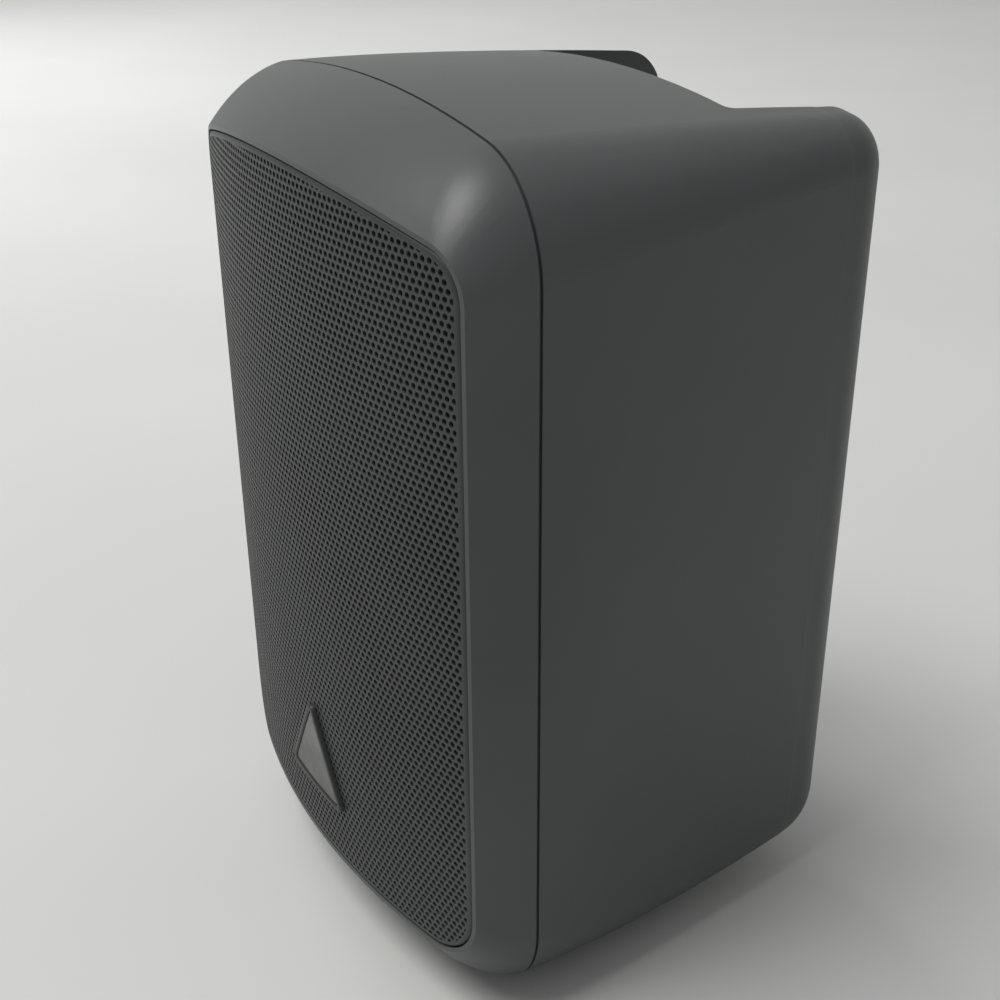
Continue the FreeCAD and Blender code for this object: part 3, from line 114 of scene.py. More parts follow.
def sweeping_wall():
    """A wall round part of a circle, with a rounded foot that meets the floor."""
    bends = [math.pi / 2 * i / WALL_FOOT_STEPS for i in range(WALL_FOOT_STEPS + 1)]
    profile = [(WALL_DISTANCE + WALL_FOOT * math.sin(a), WALL_FOOT * (1 - math.cos(a))) for a in bends]
    profile.append((WALL_DISTANCE + WALL_FOOT, WALL_HEIGHT))
    steps = range(WALL_TURN_STEPS + 1)
    turns = [WALL_TURN[0] + (WALL_TURN[1] - WALL_TURN[0]) * i / WALL_TURN_STEPS for i in steps]
    points = [(r * math.cos(a), r * math.sin(a), z + WALL_OFF_FLOOR) for a in turns for r, z in profile]
    across = len(profile)
    faces = []
    for i in range(len(turns) - 1):
        for k in range(across - 1):
            first = i * across + k
            faces.append((first, first + 1, first + across + 1, first + across))
    return stage_piece("sweeping_wall", points, faces)


corners = [(-FLOOR_HALF, -FLOOR_HALF, 0), (FLOOR_HALF, -FLOOR_HALF, 0), (FLOOR_HALF, FLOOR_HALF, 0),
           (-FLOOR_HALF, FLOOR_HALF, 0)]
floor = stage_piece("floor", corners, [(0, 1, 2, 3)])
wall = sweeping_wall()


def soft_light(name, place, target, size, power, colour):
    """A round area light in metres and watts, turned towards a target."""
    lamp = bpy.data.lights.new(name, "AREA")
    lamp.shape = "DISK"
    lamp.size = size
    lamp.energy = power
    lamp.color = colour
    light = bpy.data.objects.new(name, lamp)
    bpy.context.scene.collection.objects.link(light)
    light.location = place
    light.rotation_mode = "QUATERNION"
    light.rotation_quaternion = (Vector(target) - Vector(place)).to_track_quat("-Z", "Y")
    return light


soft_light("high_front", (-0.33, -1.45, 3.0), (0.0, 0.0, 0.15), 1.8, 72.0, (1.0, 0.99, 0.97))
left_fill = soft_light("left_fill", (-1.6, -0.1, 0.9), (0.0, 0.0, 0.12), 1.0, 12.0, (0.96, 0.98, 1.0))
left_fill.visible_glossy = False

world = bpy.data.worlds.new("studio")
world.use_nodes = True
background = world.node_tree.nodes["Background"]
background.inputs["Color"].default_value = (0.80, 0.81, 0.81, 1.0)
background.inputs["Strength"].default_value = 0.40
bpy.context.scene.world = world
bpy.context.scene.view_settings.view_transform = "Standard"
print("lights and floor made")

# %% [markdown]
# ## Small tools for finishes
# Every finish below is a node tree on Object coordinates: the pattern then keeps its real size in metres and stays
# put on the piece from any side. These helpers add one node each, so that a finish reads as a short recipe.

# %% Finish helpers


def start_finish(name, colour, roughness, metallic=0.0):
    """A new material with its constants on the shader's own sockets."""
    material = bpy.data.materials.new(name)
    material.use_nodes = True
    tree = material.node_tree
    shader = tree.nodes["Principled BSDF"]
    shader.inputs["Base Color"].default_value = (*colour, 1.0)
    shader.inputs["Roughness"].default_value = roughness
    shader.inputs["Metallic"].default_value = metallic
    place = tree.nodes.new("ShaderNodeTexCoord").outputs["Object"]
    return material, tree, shader, place


def stretched(tree, place, scale):
    """Coordinates squeezed or stretched along each axis, for grain that runs one way."""
    mapping = tree.nodes.new("ShaderNodeMapping")
    mapping.inputs["Scale"].default_value = scale
    tree.links.new(place, mapping.inputs["Vector"])
    return mapping.outputs["Vector"]


def cloudy(tree, place, per_metre, detail=3.0):
    """Soft irregular noise, from 0 to 1."""
    noise = tree.nodes.new("ShaderNodeTexNoise")
    noise.inputs["Scale"].default_value = per_metre
    noise.inputs["Detail"].default_value = detail
    tree.links.new(place, noise.inputs["Vector"])
    return noise.outputs["Fac"]


def pebbled(tree, place, per_metre):
    """Rounded cells, like spark-eroded mould grain."""
    cells = tree.nodes.new("ShaderNodeTexVoronoi")
    cells.feature = "SMOOTH_F1"
    cells.inputs["Scale"].default_value = per_metre
    tree.links.new(place, cells.inputs["Vector"])
    return cells.outputs["Distance"]


def banded(tree, place, per_metre, axis="Y", distortion=0.0):
    """Even waves across one axis, for threads, turns of wire and brush lines."""
    wave = tree.nodes.new("ShaderNodeTexWave")
    wave.bands_direction = axis
    wave.inputs["Scale"].default_value = per_metre / 2
    wave.inputs["Distortion"].default_value = distortion
    tree.links.new(place, wave.inputs["Vector"])
    return wave.outputs["Fac"]


def tinted(tree, shader, amount, dark, light, low=0.35, high=0.65):
    """Colours the surface between two shades by a 0 to 1 pattern."""
    ramp = tree.nodes.new("ShaderNodeValToRGB")
    ramp.color_ramp.elements[0].position = low
    ramp.color_ramp.elements[0].color = (*dark, 1.0)
    ramp.color_ramp.elements[1].position = high
    ramp.color_ramp.elements[1].color = (*light, 1.0)
    tree.links.new(amount, ramp.inputs["Fac"])
    tree.links.new(ramp.outputs["Color"], shader.inputs["Base Color"])
    return ramp.outputs["Color"]


def dulled(tree, shader, amount, low, high):
    """Varies the roughness between two values by a pattern."""
    spread = tree.nodes.new("ShaderNodeMapRange")
    spread.inputs["To Min"].default_value = low
    spread.inputs["To Max"].default_value = high
    tree.links.new(amount, spread.inputs["Value"])
    tree.links.new(spread.outputs["Result"], shader.inputs["Roughness"])


def raised(tree, shader, heights, strength=1.0):
    """Turns (pattern, height in metres) pairs into bumps, one on top of the other."""
    normal = None
    for pattern, height in heights:
        bump = tree.nodes.new("ShaderNodeBump")
        bump.inputs["Distance"].default_value = height
        bump.inputs["Strength"].default_value = strength
        tree.links.new(pattern, bump.inputs["Height"])
        if normal:
            tree.links.new(normal, bump.inputs["Normal"])
        normal = bump.outputs["Normal"]
    tree.links.new(normal, shader.inputs["Normal"])


def shade(colour, factor):
    return tuple(min(1.0, channel * factor) for channel in colour)


print("finish helpers ready")

# %% [markdown]
# ## Moulded plastic
# The cabinet and the bezel are injection-moulded, and the steel mould was spark-eroded, which leaves a fine pebbled
# grain. Smooth Voronoi cells about a third of a millimetre across give the grain, a wide slow noise gives the
# uneven sheen of handling, and a finer noise breaks the highlight. Where a face looks up, by the world's upward
# direction read from the surface normal, a little lighter grey is mixed in: painted top light, with a little dust.

# %% Moulded plastic
# Painted top light with a little dust: the grey that upward faces are mixed toward, where the mix starts, and how far
# it goes.
TOP_LIGHT_AND_DUST_GREY = (0.30, 0.31, 0.31)
TOP_LIGHT_FROM = 0.55
TOP_LIGHT_AMOUNT = 0.10


def moulded_plastic(name, colour, roughness, grain=2600.0, grain_height=0.00005):
    """Plain mouldings. Grain is in cells per metre, and its height in metres."""
    material, tree, shader, place = start_finish(name, colour, roughness)
    slow = cloudy(tree, place, 14.0, 4.0)
    fine = cloudy(tree, place, 900.0, 2.0)
    tinted(tree, shader, slow, shade(colour, 0.90), shade(colour, 1.10))
    dulled(tree, shader, slow, roughness - 0.05, roughness + 0.06)
    raised(tree, shader, [(pebbled(tree, place, grain), grain_height), (fine, grain_height / 2)], 0.35)
    return material


def top_lit_dusty_plastic(name, colour, roughness, grain, grain_height):
    """Moulded plastic with painted top light and a breath of dust on faces that look up."""
    material, tree, shader, place = start_finish(name, colour, roughness)
    slow = cloudy(tree, place, 11.0, 5.0)
    tint = tinted(tree, shader, slow, shade(colour, 0.90), shade(colour, 1.10))
    # Painted top light: faces that look up are mixed toward a lighter grey, which also stands for a little dust.
    geometry = tree.nodes.new("ShaderNodeNewGeometry")
    facing = tree.nodes.new("ShaderNodeSeparateXYZ")
    tree.links.new(geometry.outputs["Normal"], facing.inputs["Vector"])
    upward = tree.nodes.new("ShaderNodeMapRange")
    upward.inputs["From Min"].default_value = TOP_LIGHT_FROM
    upward.inputs["To Max"].default_value = TOP_LIGHT_AMOUNT
    tree.links.new(facing.outputs["Z"], upward.inputs["Value"])
    top_light_mix = tree.nodes.new("ShaderNodeMix")
    top_light_mix.data_type = "RGBA"
    tree.links.new(upward.outputs["Result"], top_light_mix.inputs["Factor"])
    tree.links.new(tint, top_light_mix.inputs["A"])
    top_light_mix.inputs["B"].default_value = (*TOP_LIGHT_AND_DUST_GREY, 1.0)
    tree.links.new(top_light_mix.outputs["Result"], shader.inputs["Base Color"])
    dulled(tree, shader, slow, roughness - 0.04, roughness + 0.06)
    raised(tree, shader, [(pebbled(tree, place, grain), grain_height),
                          (cloudy(tree, place, 1400.0, 2.0), grain_height / 2)], 0.35)
    return material


print("plastic finishes ready")

# %% [markdown]
# ## Metal, paint and rubber
# Powder coat on the grille is matt with an orange-peel ripple. Plated steel shows drawn lines and a slight change of
# tone. Rubber is nearly black, soft in its highlight, and carries mould dust.

# %% Metal, paint and rubber


def powder_coat(name, colour, roughness):
    material, tree, shader, place = start_finish(name, colour, roughness)
    peel = cloudy(tree, place, 1800.0, 2.0)
    slow = cloudy(tree, place, 20.0, 3.0)
    tinted(tree, shader, slow, shade(colour, 0.85), shade(colour, 1.15))
    dulled(tree, shader, slow, roughness - 0.05, roughness + 0.07)
    raised(tree, shader, [(peel, 0.00004)], 0.4)
    return material


def plated_metal(name, colour, roughness, lines=(900.0, 900.0, 30.0)):
    material, tree, shader, place = start_finish(name, colour, roughness, 1.0)
    drawn = cloudy(tree, stretched(tree, place, lines), 1.0, 4.0)
    slow = cloudy(tree, place, 60.0, 3.0)
    tinted(tree, shader, slow, shade(colour, 0.8), shade(colour, 1.15))
    dulled(tree, shader, drawn, roughness - 0.08, roughness + 0.12)
    raised(tree, shader, [(drawn, 0.00002)], 0.5)
    return material


def soft_rubber(name, colour, roughness=0.62):
    material, tree, shader, place = start_finish(name, colour, roughness)
    bloom = cloudy(tree, place, 70.0, 5.0)
    tinted(tree, shader, bloom, colour, shade(colour, 2.2), 0.45, 0.85)
    dulled(tree, shader, bloom, roughness, roughness + 0.15)
    raised(tree, shader, [(cloudy(tree, place, 2500.0, 2.0), 0.00003)], 0.4)
    return material


def ground_ferrite(name, colour):
    material, tree, shader, place = start_finish(name, colour, 0.5)
    grit = cloudy(tree, place, 1500.0, 6.0)
    tinted(tree, shader, grit, shade(colour, 0.7), shade(colour, 1.6))
    dulled(tree, shader, banded(tree, place, 500.0, "X", 6.0), 0.35, 0.6)
    raised(tree, shader, [(grit, 0.00004)], 0.5)
    return material


print("metal finishes ready")

# %% [markdown]
# ## Cloth, paper, foam and wire
# Woven stuff is two sets of waves crossing at right angles. Pressed paper is fibres: noise stretched and laid two
# ways. A winding is the same wave again, once for every turn of wire.

# %% Cloth, paper, foam and wire


def woven(name, colour, threads=1500.0, roughness=0.85):
    material, tree, shader, place = start_finish(name, colour, roughness)
    warp = banded(tree, place, threads, "X")
    weft = banded(tree, place, threads, "Z")
    crossing = tree.nodes.new("ShaderNodeMath")
    crossing.operation = "MAXIMUM"
    tree.links.new(warp, crossing.inputs[0])
    tree.links.new(weft, crossing.inputs[1])
    tinted(tree, shader, crossing.outputs[0], shade(colour, 0.5), shade(colour, 1.3), 0.2, 0.9)
    raised(tree, shader, [(crossing.outputs[0], 0.0001)], 0.6)
    shader.inputs["Sheen Weight"].default_value = 0.15
    return material


def pressed_paper(name, colour):
    material, tree, shader, place = start_finish(name, colour, 0.82)
    along = cloudy(tree, stretched(tree, place, (2200.0, 500.0, 400.0)), 1.0, 5.0)
    across = cloudy(tree, stretched(tree, place, (400.0, 500.0, 2200.0)), 1.0, 5.0)
    tinted(tree, shader, along, shade(colour, 0.6), shade(colour, 1.7))
    raised(tree, shader, [(along, 0.00008), (across, 0.00008)], 0.6)
    return material


def open_foam(name, colour):
    material, tree, shader, place = start_finish(name, colour, 0.95)
    holes = pebbled(tree, place, 900.0)
    tinted(tree, shader, holes, shade(colour, 0.3), shade(colour, 1.2), 0.1, 0.5)
    raised(tree, shader, [(holes, 0.0005)], 0.8)
    return material


def wound_wire(name, colour):
    material, tree, shader, place = start_finish(name, colour, 0.3, 0.9)
    turns = banded(tree, place, 1400.0, "Y", 0.3)
    tinted(tree, shader, turns, shade(colour, 0.45), shade(colour, 1.2), 0.1, 0.8)
    raised(tree, shader, [(turns, 0.0003)], 0.7)
    return material


def laminate(name, colour):
    material, tree, shader, place = start_finish(name, colour, 0.45)
    fibres = cloudy(tree, stretched(tree, place, (200.0, 200.0, 1400.0)), 1.0, 4.0)
    tinted(tree, shader, fibres, shade(colour, 0.8), shade(colour, 1.25))
    raised(tree, shader, [(fibres, 0.00002)], 0.5)
    return material


def lamp_glass(name):
    material, tree, shader, place = start_finish(name, (0.95, 0.95, 0.93), 0.05)
    shader.inputs["Transmission Weight"].default_value = 0.9
    dulled(tree, shader, cloudy(tree, place, 300.0), 0.03, 0.12)
    return material


print("soft finishes ready")

# %% [markdown]
# ## One finish for every slot
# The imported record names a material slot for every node. One table turns slots into finishes, so no piece is left
# with a flat colour, and pieces of the same stuff share one material.

# %% Finishes for the slots
CHARCOAL = (0.062, 0.067, 0.069)
NEAR_BLACK = (0.020, 0.020, 0.021)

finishes = {
    # The cabinet and bezel finishes carry painted top light on faces that look up.
    "enclosure_plastic": top_lit_dusty_plastic("charcoal_moulding", CHARCOAL, 0.44, 2400.0, 0.00005),
    "bezel_plastic": top_lit_dusty_plastic("bezel_moulding", shade(CHARCOAL, 1.02), 0.41, 3000.0, 0.00003),
    "grille_steel": powder_coat("grille_powder_coat", (0.034, 0.037, 0.037), 0.46),
    "scrim": woven("black_scrim", (0.010, 0.010, 0.010)),
    "badge_metal": plated_metal("badge_satin_metal", (0.25, 0.255, 0.245), 0.48, (300.0, 300.0, 300.0)),
    "badge_rim_plastic": moulded_plastic("badge_rim_moulding", (0.026, 0.027, 0.027), 0.42),
    "black_plastic": moulded_plastic("black_moulding", NEAR_BLACK, 0.42),
    "black_rubber": soft_rubber("black_rubber", (0.014, 0.014, 0.014)),
    "steel_screw": plated_metal("blackened_screw_steel", (0.10, 0.10, 0.10), 0.36),
    "zinc_steel": plated_metal("zinc_plated_steel", (0.56, 0.56, 0.54), 0.3),
    "brass_insert": plated_metal("turned_brass", (0.68, 0.50, 0.22), 0.28, (40.0, 1600.0, 40.0)),
    "basket_paint": powder_coat("basket_black_paint", (0.025, 0.025, 0.027), 0.38),
    "cone_paper": pressed_paper("cone_pulp", (0.030, 0.029, 0.028)),
    "coil_copper": wound_wire("enamelled_winding", (0.62, 0.24, 0.10)),
    "spider_cloth": woven("dipped_spider_cloth", (0.50, 0.28, 0.10), 1100.0, 0.7),
    "ferrite": ground_ferrite("ferrite", (0.055, 0.055, 0.060)),
    "dome_film": moulded_plastic("dome_film", (0.05, 0.05, 0.058), 0.25, 6000.0, 0.00001),
    "lever_red": moulded_plastic("red_lever_moulding", (0.45, 0.018, 0.014), 0.3, 4000.0, 0.00002),
    "lever_black": moulded_plastic("black_lever_moulding", (0.014, 0.014, 0.014), 0.3, 4000.0, 0.00002),
    "spring_bronze": plated_metal("spring_bronze", (0.62, 0.42, 0.22), 0.3),
    "board_laminate": laminate("board_laminate", (0.26, 0.17, 0.07)),
    "can_sleeve": moulded_plastic("can_sleeve", (0.015, 0.02, 0.07), 0.3, 4000.0, 0.00001),
    "cement": moulded_plastic("white_cement", (0.72, 0.71, 0.67), 0.8, 1500.0, 0.0001),
    "lamp_glass": lamp_glass("lamp_glass"),
    "foam": open_foam("grey_foam", (0.16, 0.16, 0.16)),
    "lead_red": moulded_plastic("red_insulation", (0.50, 0.02, 0.02), 0.4, 3000.0, 0.00002),
    "lead_black": moulded_plastic("black_insulation", (0.014, 0.014, 0.014), 0.4, 3000.0, 0.00002),
}
slot_of = {part["node"]: part["material_slot"] for part in frame["record"]["subparts"]}
for name, node in frame["nodes"].items():
    for holder in node.material_slots:
        holder.material = finishes[slot_of[name]]
print(len(finishes), "finishes on", len(frame["nodes"]), "nodes")


def stage_finish(name, piece, per_metre, dark, light, roughness):
    """A pale matt finish with a hint of unevenness, for floor and wall."""
    material, tree, shader, place = start_finish(name, light, roughness)
    tinted(tree, shader, cloudy(tree, place, per_metre), dark, light)
    piece.data.materials.append(material)


stage_finish("pale_floor", floor, 3.0, (0.59, 0.59, 0.58), (0.62, 0.62, 0.61), 0.6)
stage_finish("pale_wall", wall, 2.0, (0.74, 0.74, 0.73), (0.78, 0.78, 0.77), 0.7)

# %% [markdown]
# ## Tools for pieces
# New pieces are plain meshes whose place is in their points, with their object left at the origin, just like the
# CAD nodes. A ring-by-ring skin makes anything that is swept or turned: it only needs rows of points.

# %% Piece helpers


def new_piece(name, mesh, body, slot, smooth_angle=35.0):
    """Links a mesh as a piece with the slot's finish; it rides on the body, if one is given."""
    piece = bpy.data.objects.new(name, mesh)
    bpy.context.scene.collection.objects.link(piece)
    if not mesh.materials:
        mesh.materials.append(finishes[slot])
    mesh.shade_smooth()
    mesh.set_sharp_from_angle(angle=math.radians(smooth_angle))
    if body:
        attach(piece, body)
    print(name, len(mesh.polygons), "faces")
    return piece


def skin_rings(name, rings, closed_across=False, capped=False):
    """A mesh of quads between rings that hold the same number of points."""
    count = len(rings[0])
    points = [tuple(point) for ring in rings for point in ring]
    faces = []
    last = len(rings) if closed_across else len(rings) - 1
    for i in range(last):
        here = i * count
        there = (i + 1) % len(rings) * count
        for k in range(count):
            after = (k + 1) % count
            faces.append((here + k, here + after, there + after, there + k))
    if capped:
        faces.append(tuple(range(count))[::-1])
        faces.append(tuple(range((len(rings) - 1) * count, len(rings) * count)))
    mesh = bpy.data.meshes.new(name)
    mesh.from_pydata(points, [], faces)
    tidy = bmesh.new()
    tidy.from_mesh(mesh)
    bmesh.ops.recalc_face_normals(tidy, faces=tidy.faces)
    tidy.to_mesh(mesh)
    tidy.free()
    return mesh


def islands(node_name):
    """The boxes of a node's separate solids, read from a merged copy of its mesh."""
    copy = bmesh.new()
    copy.from_mesh(frame["nodes"][node_name].data)
    bmesh.ops.remove_doubles(copy, verts=copy.verts, dist=1e-6)
    left = set(copy.verts)
    boxes = []
    while left:
        stack = [left.pop()]
        found = []
        while stack:
            vertex = stack.pop()
            found.append(vertex.co.copy())
            for edge in vertex.link_edges:
                other = edge.other_vert(vertex)
                if other in left:
                    left.remove(other)
                    stack.append(other)
        low = Vector([min(point[i] for point in found) for i in range(3)])
        high = Vector([max(point[i] for point in found) for i in range(3)])
        boxes.append((low, high))
    copy.free()
    return sorted(boxes, key=lambda pair: (round(pair[0].z, 4), pair[0].x))


def input_id(group, wanted):
    """The identifier of a named input, which is what a modifier is set by."""
    for item in group.interface.items_tree:
        if item.item_type == "SOCKET" and item.in_out == "INPUT" and item.name == wanted:
            return item.identifier
    raise KeyError(wanted)


def grown(name, mesh, group, values):
    """Runs a Geometry Nodes tree on a mesh and returns the plain mesh that comes out."""
    carrier = bpy.data.objects.new(name, mesh)
    bpy.context.scene.collection.objects.link(carrier)
    modifier = carrier.modifiers.new(name, "NODES")
    modifier.node_group = group
    for wanted, value in values.items():
        modifier[input_id(group, wanted)] = value
    bpy.context.view_layer.update()
    graph = bpy.context.evaluated_depsgraph_get()
    result = bpy.data.meshes.new_from_object(carrier.evaluated_get(graph))
    bpy.data.objects.remove(carrier)
    result.name = name
    return result


print("piece helpers ready")

# %% [markdown]
# ## The outline of the grille
# From the front the grille is a tall rectangle with an arched top, a flat foot and four rounded corners. One
# function gives that outline drawn in by any amount; the bow of the front is a circle seen from above. Width and
# height are measured from the CAD grille; the depth of the bow is named, as are the arch and the corners.

# %% Grille outline
MM = 0.001
CROWN = 9.2 * MM
TOP_CORNER = 11.5 * MM
BOTTOM_CORNER = 15.5 * MM
FRONT_BOW = 10.55 * MM

grille_low, grille_high = [Vector(corner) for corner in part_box("grille")]
HALF_WIDTH = grille_high.x
BOW_RADIUS = (HALF_WIDTH**2 + FRONT_BOW**2) / (2 * FRONT_BOW)
BOW_CENTRE = grille_low.y + BOW_RADIUS


def bow(x):
    """Where the front surface of the grille is, for a place across it."""
    return BOW_CENTRE - math.sqrt(BOW_RADIUS**2 - x**2)


def crown(inset):
    """Radius and centre height of the arched top, drawn in by inset."""
    radius = (HALF_WIDTH**2 + CROWN**2) / (2 * CROWN) - inset
    return radius, grille_high.z - inset - radius


def outline(inset, per_corner=10, per_side=24):
    """Points (x, z) round the grille, drawn in by inset, anticlockwise from the lower right."""
    half = HALF_WIDTH - inset
    crown_r, crown_z = crown(inset)
    top_r = TOP_CORNER - inset
    foot_r = BOTTOM_CORNER - inset
    top_x = half - top_r
    top_z = crown_z + math.sqrt((crown_r - top_r)**2 - top_x**2)
    lean = math.atan2(top_z - crown_z, top_x)
    foot_x = half - foot_r
    foot_z = grille_low.z + inset + foot_r
    right = [(half, foot_z + (top_z - foot_z) * i / per_side) for i in range(per_side)]
    corner = [lean * i / per_corner for i in range(per_corner)]
    top_right = [(top_x + top_r * math.cos(a), top_z + top_r * math.sin(a)) for a in corner]
    arch = [lean + (math.pi - 2 * lean) * i / per_side for i in range(per_side)]
    top = [(crown_r * math.cos(a), crown_z + crown_r * math.sin(a)) for a in arch]
    quarter = [math.pi / 2 * i / per_corner for i in range(per_corner)]
    top_left = [(-x, z) for x, z in reversed(top_right + [(top[0][0], top[0][1])])][:-1]
    left = [(-x, z) for x, z in reversed(right[1:] + [(half, top_z)])]
    foot_left = [(-foot_x - foot_r * math.cos(a), foot_z - foot_r * math.sin(a)) for a in quarter]
    foot = [(-foot_x + 2 * foot_x * i / per_side, foot_z - foot_r) for i in range(per_side)]
    foot_right = [(foot_x + foot_r * math.sin(a), foot_z - foot_r * math.cos(a)) for a in quarter]
    return right + top_right + top + top_left + left + foot_left + foot + foot_right


print("grille outline", len(outline(0.0)), "points, bow radius", round(BOW_RADIUS, 4))

# %% [markdown]
# ## The perforated sheet
# The front is steel punched with thousands of round holes in staggered rows. Each hole is one small hexagonal tile
# with a hole in it, and tiles share their edges, so they join without gaps. Geometry Nodes set one tile on every
# hole's centre, join them and bend the sheet to the bow: one tree, whose inputs are the tile and the bow's circle.
# A press would cut the sheet off at a clean line. Here the tiles' points beyond that line are drawn back to it, all
# but a hair, so that no two points fall together and the sheet stays closed. The real sheet is one, but here it is
# made as two halves to keep each mesh light. At this size six sides are enough to make a hole look round.

# %% Perforated sheet
PITCH = 2.15 * MM
HOLE = 1.6 * MM
SHEET = 0.9 * MM
MARGIN = 0.1 * MM
CUT_LINE = 1.3 * MM
TRIM_LEFT = 0.02
ROW = PITCH * math.sqrt(3) / 2
TILE_R = PITCH / math.sqrt(3)
JOIN_WITHIN = PITCH / 50


def perforation_tile():
    """A hexagonal tile, one corner up, with a six-sided hole and both its faces."""
    rings = []
    for radius, depth in ((TILE_R, 0.0), (HOLE / 2, 0.0), (HOLE / 2, SHEET), (TILE_R, SHEET)):
        angles = [math.pi / 2 - math.pi / 3 * k for k in range(6)]
        rings.append([(radius * math.cos(a), depth, radius * math.sin(a)) for a in angles])
    return skin_rings("perforation_tile", rings)


def inside_outline(x, z, margin):
    """Whether a place lies inside the grille's outline, drawn in by margin."""
    half = HALF_WIDTH - margin
    crown_r, crown_z = crown(margin)
    x = abs(x)
    if x > half or z < grille_low.z + margin or math.hypot(x, z - crown_z) > crown_r:
        return False
    top_x = half - (TOP_CORNER - margin)
    top_z = crown_z + math.sqrt((crown_r - TOP_CORNER + margin)**2 - top_x**2)
    foot_x = half - (BOTTOM_CORNER - margin)
    foot_z = grille_low.z + BOTTOM_CORNER
    if x > top_x and z > top_z:
        return math.hypot(x - top_x, z - top_z) < TOP_CORNER - margin
    if x > foot_x and z < foot_z:
        return math.hypot(x - foot_x, z - foot_z) < BOTTOM_CORNER - margin
    return True


def hole_centres():
    """Staggered rows of hole centres that fall inside the sheet's margin."""
    rows = int((grille_high.z - grille_low.z) / ROW) + 1
    columns = int(HALF_WIDTH / PITCH) + 1
    centres = []
    for row in range(rows):
        z = grille_low.z + row * ROW
        offset = PITCH / 2 if row % 2 else 0.0
        for column in range(-columns, columns + 1):
            x = column * PITCH + offset
            if inside_outline(x, z, MARGIN):
                centres.append((x, 0.0, z))
    return centres


def perforating_tree():
    """One tile on every point, joined, bent to the bow and given its finish."""
    group = bpy.data.node_groups.new("perforated_sheet", "GeometryNodeTree")
    face = group.interface
    face.new_socket("Hole centres", in_out="INPUT", socket_type="NodeSocketGeometry")
    face.new_socket("Tile", in_out="INPUT", socket_type="NodeSocketObject")
    face.new_socket("Bow radius", in_out="INPUT", socket_type="NodeSocketFloat")
    face.new_socket("Bow centre", in_out="INPUT", socket_type="NodeSocketFloat")
    face.new_socket("Finish", in_out="INPUT", socket_type="NodeSocketMaterial")
    face.new_socket("Sheet", in_out="OUTPUT", socket_type="NodeSocketGeometry")
    nodes, links = group.nodes, group.links
    given = nodes.new("NodeGroupInput").outputs
    tile = nodes.new("GeometryNodeObjectInfo")
    links.new(given["Tile"], tile.inputs["Object"])
    tiles = nodes.new("GeometryNodeInstanceOnPoints")
    links.new(given["Hole centres"], tiles.inputs["Points"])
    links.new(tile.outputs["Geometry"], tiles.inputs["Instance"])
    real = nodes.new("GeometryNodeRealizeInstances")
    links.new(tiles.outputs["Instances"], real.inputs["Geometry"])
    joined = nodes.new("GeometryNodeMergeByDistance")
    joined.inputs["Distance"].default_value = JOIN_WITHIN
    links.new(real.outputs["Geometry"], joined.inputs["Geometry"])
    place = nodes.new("ShaderNodeSeparateXYZ")
    links.new(nodes.new("GeometryNodeInputPosition").outputs["Position"], place.inputs["Vector"])

    def maths(operation, first, second=None):
        node = nodes.new("ShaderNodeMath")
        node.operation = operation
        links.new(first, node.inputs[0])
        if second is not None:
            links.new(second, node.inputs[1])
        return node.outputs[0]

    across = maths("MULTIPLY", place.outputs["X"], place.outputs["X"])
    radius = maths("MULTIPLY", given["Bow radius"], given["Bow radius"])
    chord = maths("SQRT", maths("SUBTRACT", radius, across))
    depth = maths("ADD", maths("SUBTRACT", given["Bow centre"], chord), place.outputs["Y"])
    bent = nodes.new("ShaderNodeCombineXYZ")
    links.new(place.outputs["X"], bent.inputs["X"])
    links.new(depth, bent.inputs["Y"])
    links.new(place.outputs["Z"], bent.inputs["Z"])
    moved = nodes.new("GeometryNodeSetPosition")
    links.new(joined.outputs["Geometry"], moved.inputs["Geometry"])
    links.new(bent.outputs["Vector"], moved.inputs["Position"])
    coated = nodes.new("GeometryNodeSetMaterial")
    links.new(moved.outputs["Geometry"], coated.inputs["Geometry"])
    links.new(given["Finish"], coated.inputs["Material"])
    links.new(coated.outputs["Geometry"], nodes.new("NodeGroupOutput").inputs["Sheet"])
    return group


def nearest_on_line(line, number, place):
    """The nearest place to a given one on the two pieces of a closed line that meet at its numbered point."""
    found = []
    for first, second in ((line[number - 1], line[number]), (line[number], line[(number + 1) % len(line)])):
        along = second - first
        share = min(1.0, max(0.0, (place - first).dot(along) / along.length_squared))
        found.append(first + along * share)
    return min(found, key=lambda point: (point - place).length)


def trimmed(mesh):
    """Joins the sheet's two faces along its edge, and draws its outermost tiles back to the cut line."""
    line = [Vector((x, 0.0, z)) for x, z in outline(CUT_LINE, 30, 160)]
    nearest = kdtree.KDTree(len(line))
    for i, place in enumerate(line):
        nearest.insert(place, i)
    nearest.balance()
    sheet = bmesh.new()
    sheet.from_mesh(mesh)
    bmesh.ops.bridge_loops(sheet, edges=[edge for edge in sheet.edges if edge.is_boundary])
    for vertex in sheet.verts:
        x, y, z = vertex.co
        if not inside_outline(x, z, CUT_LINE):
            flat = Vector((x, 0.0, z))
            found = nearest_on_line(line, nearest.find(flat)[1], flat).lerp(flat, TRIM_LEFT)
            vertex.co = (found.x, y - bow(x) + bow(found.x), found.z)
    bmesh.ops.recalc_face_normals(sheet, faces=sheet.faces)
    open_edges = sum(1 for edge in sheet.edges if not edge.is_manifold)
    sheet.to_mesh(mesh)
    sheet.free()
    print(mesh.name, len(mesh.polygons), "faces,", open_edges, "edges not closed")
    return mesh


def hole_field(name, centres, tile, group):
    """One part of the sheet, grown from its hole centres; it takes the CAD grille's place."""
    points = bpy.data.meshes.new(name)
    points.from_pydata(centres, [], [])
    values = {"Tile": tile, "Bow radius": BOW_RADIUS, "Bow centre": BOW_CENTRE, "Finish": finishes["grille_steel"]}
    sheet = new_piece(name, trimmed(grown(name, points, group, values)), "grille_panel", "grille_steel", 30.0)
    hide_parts("grille")


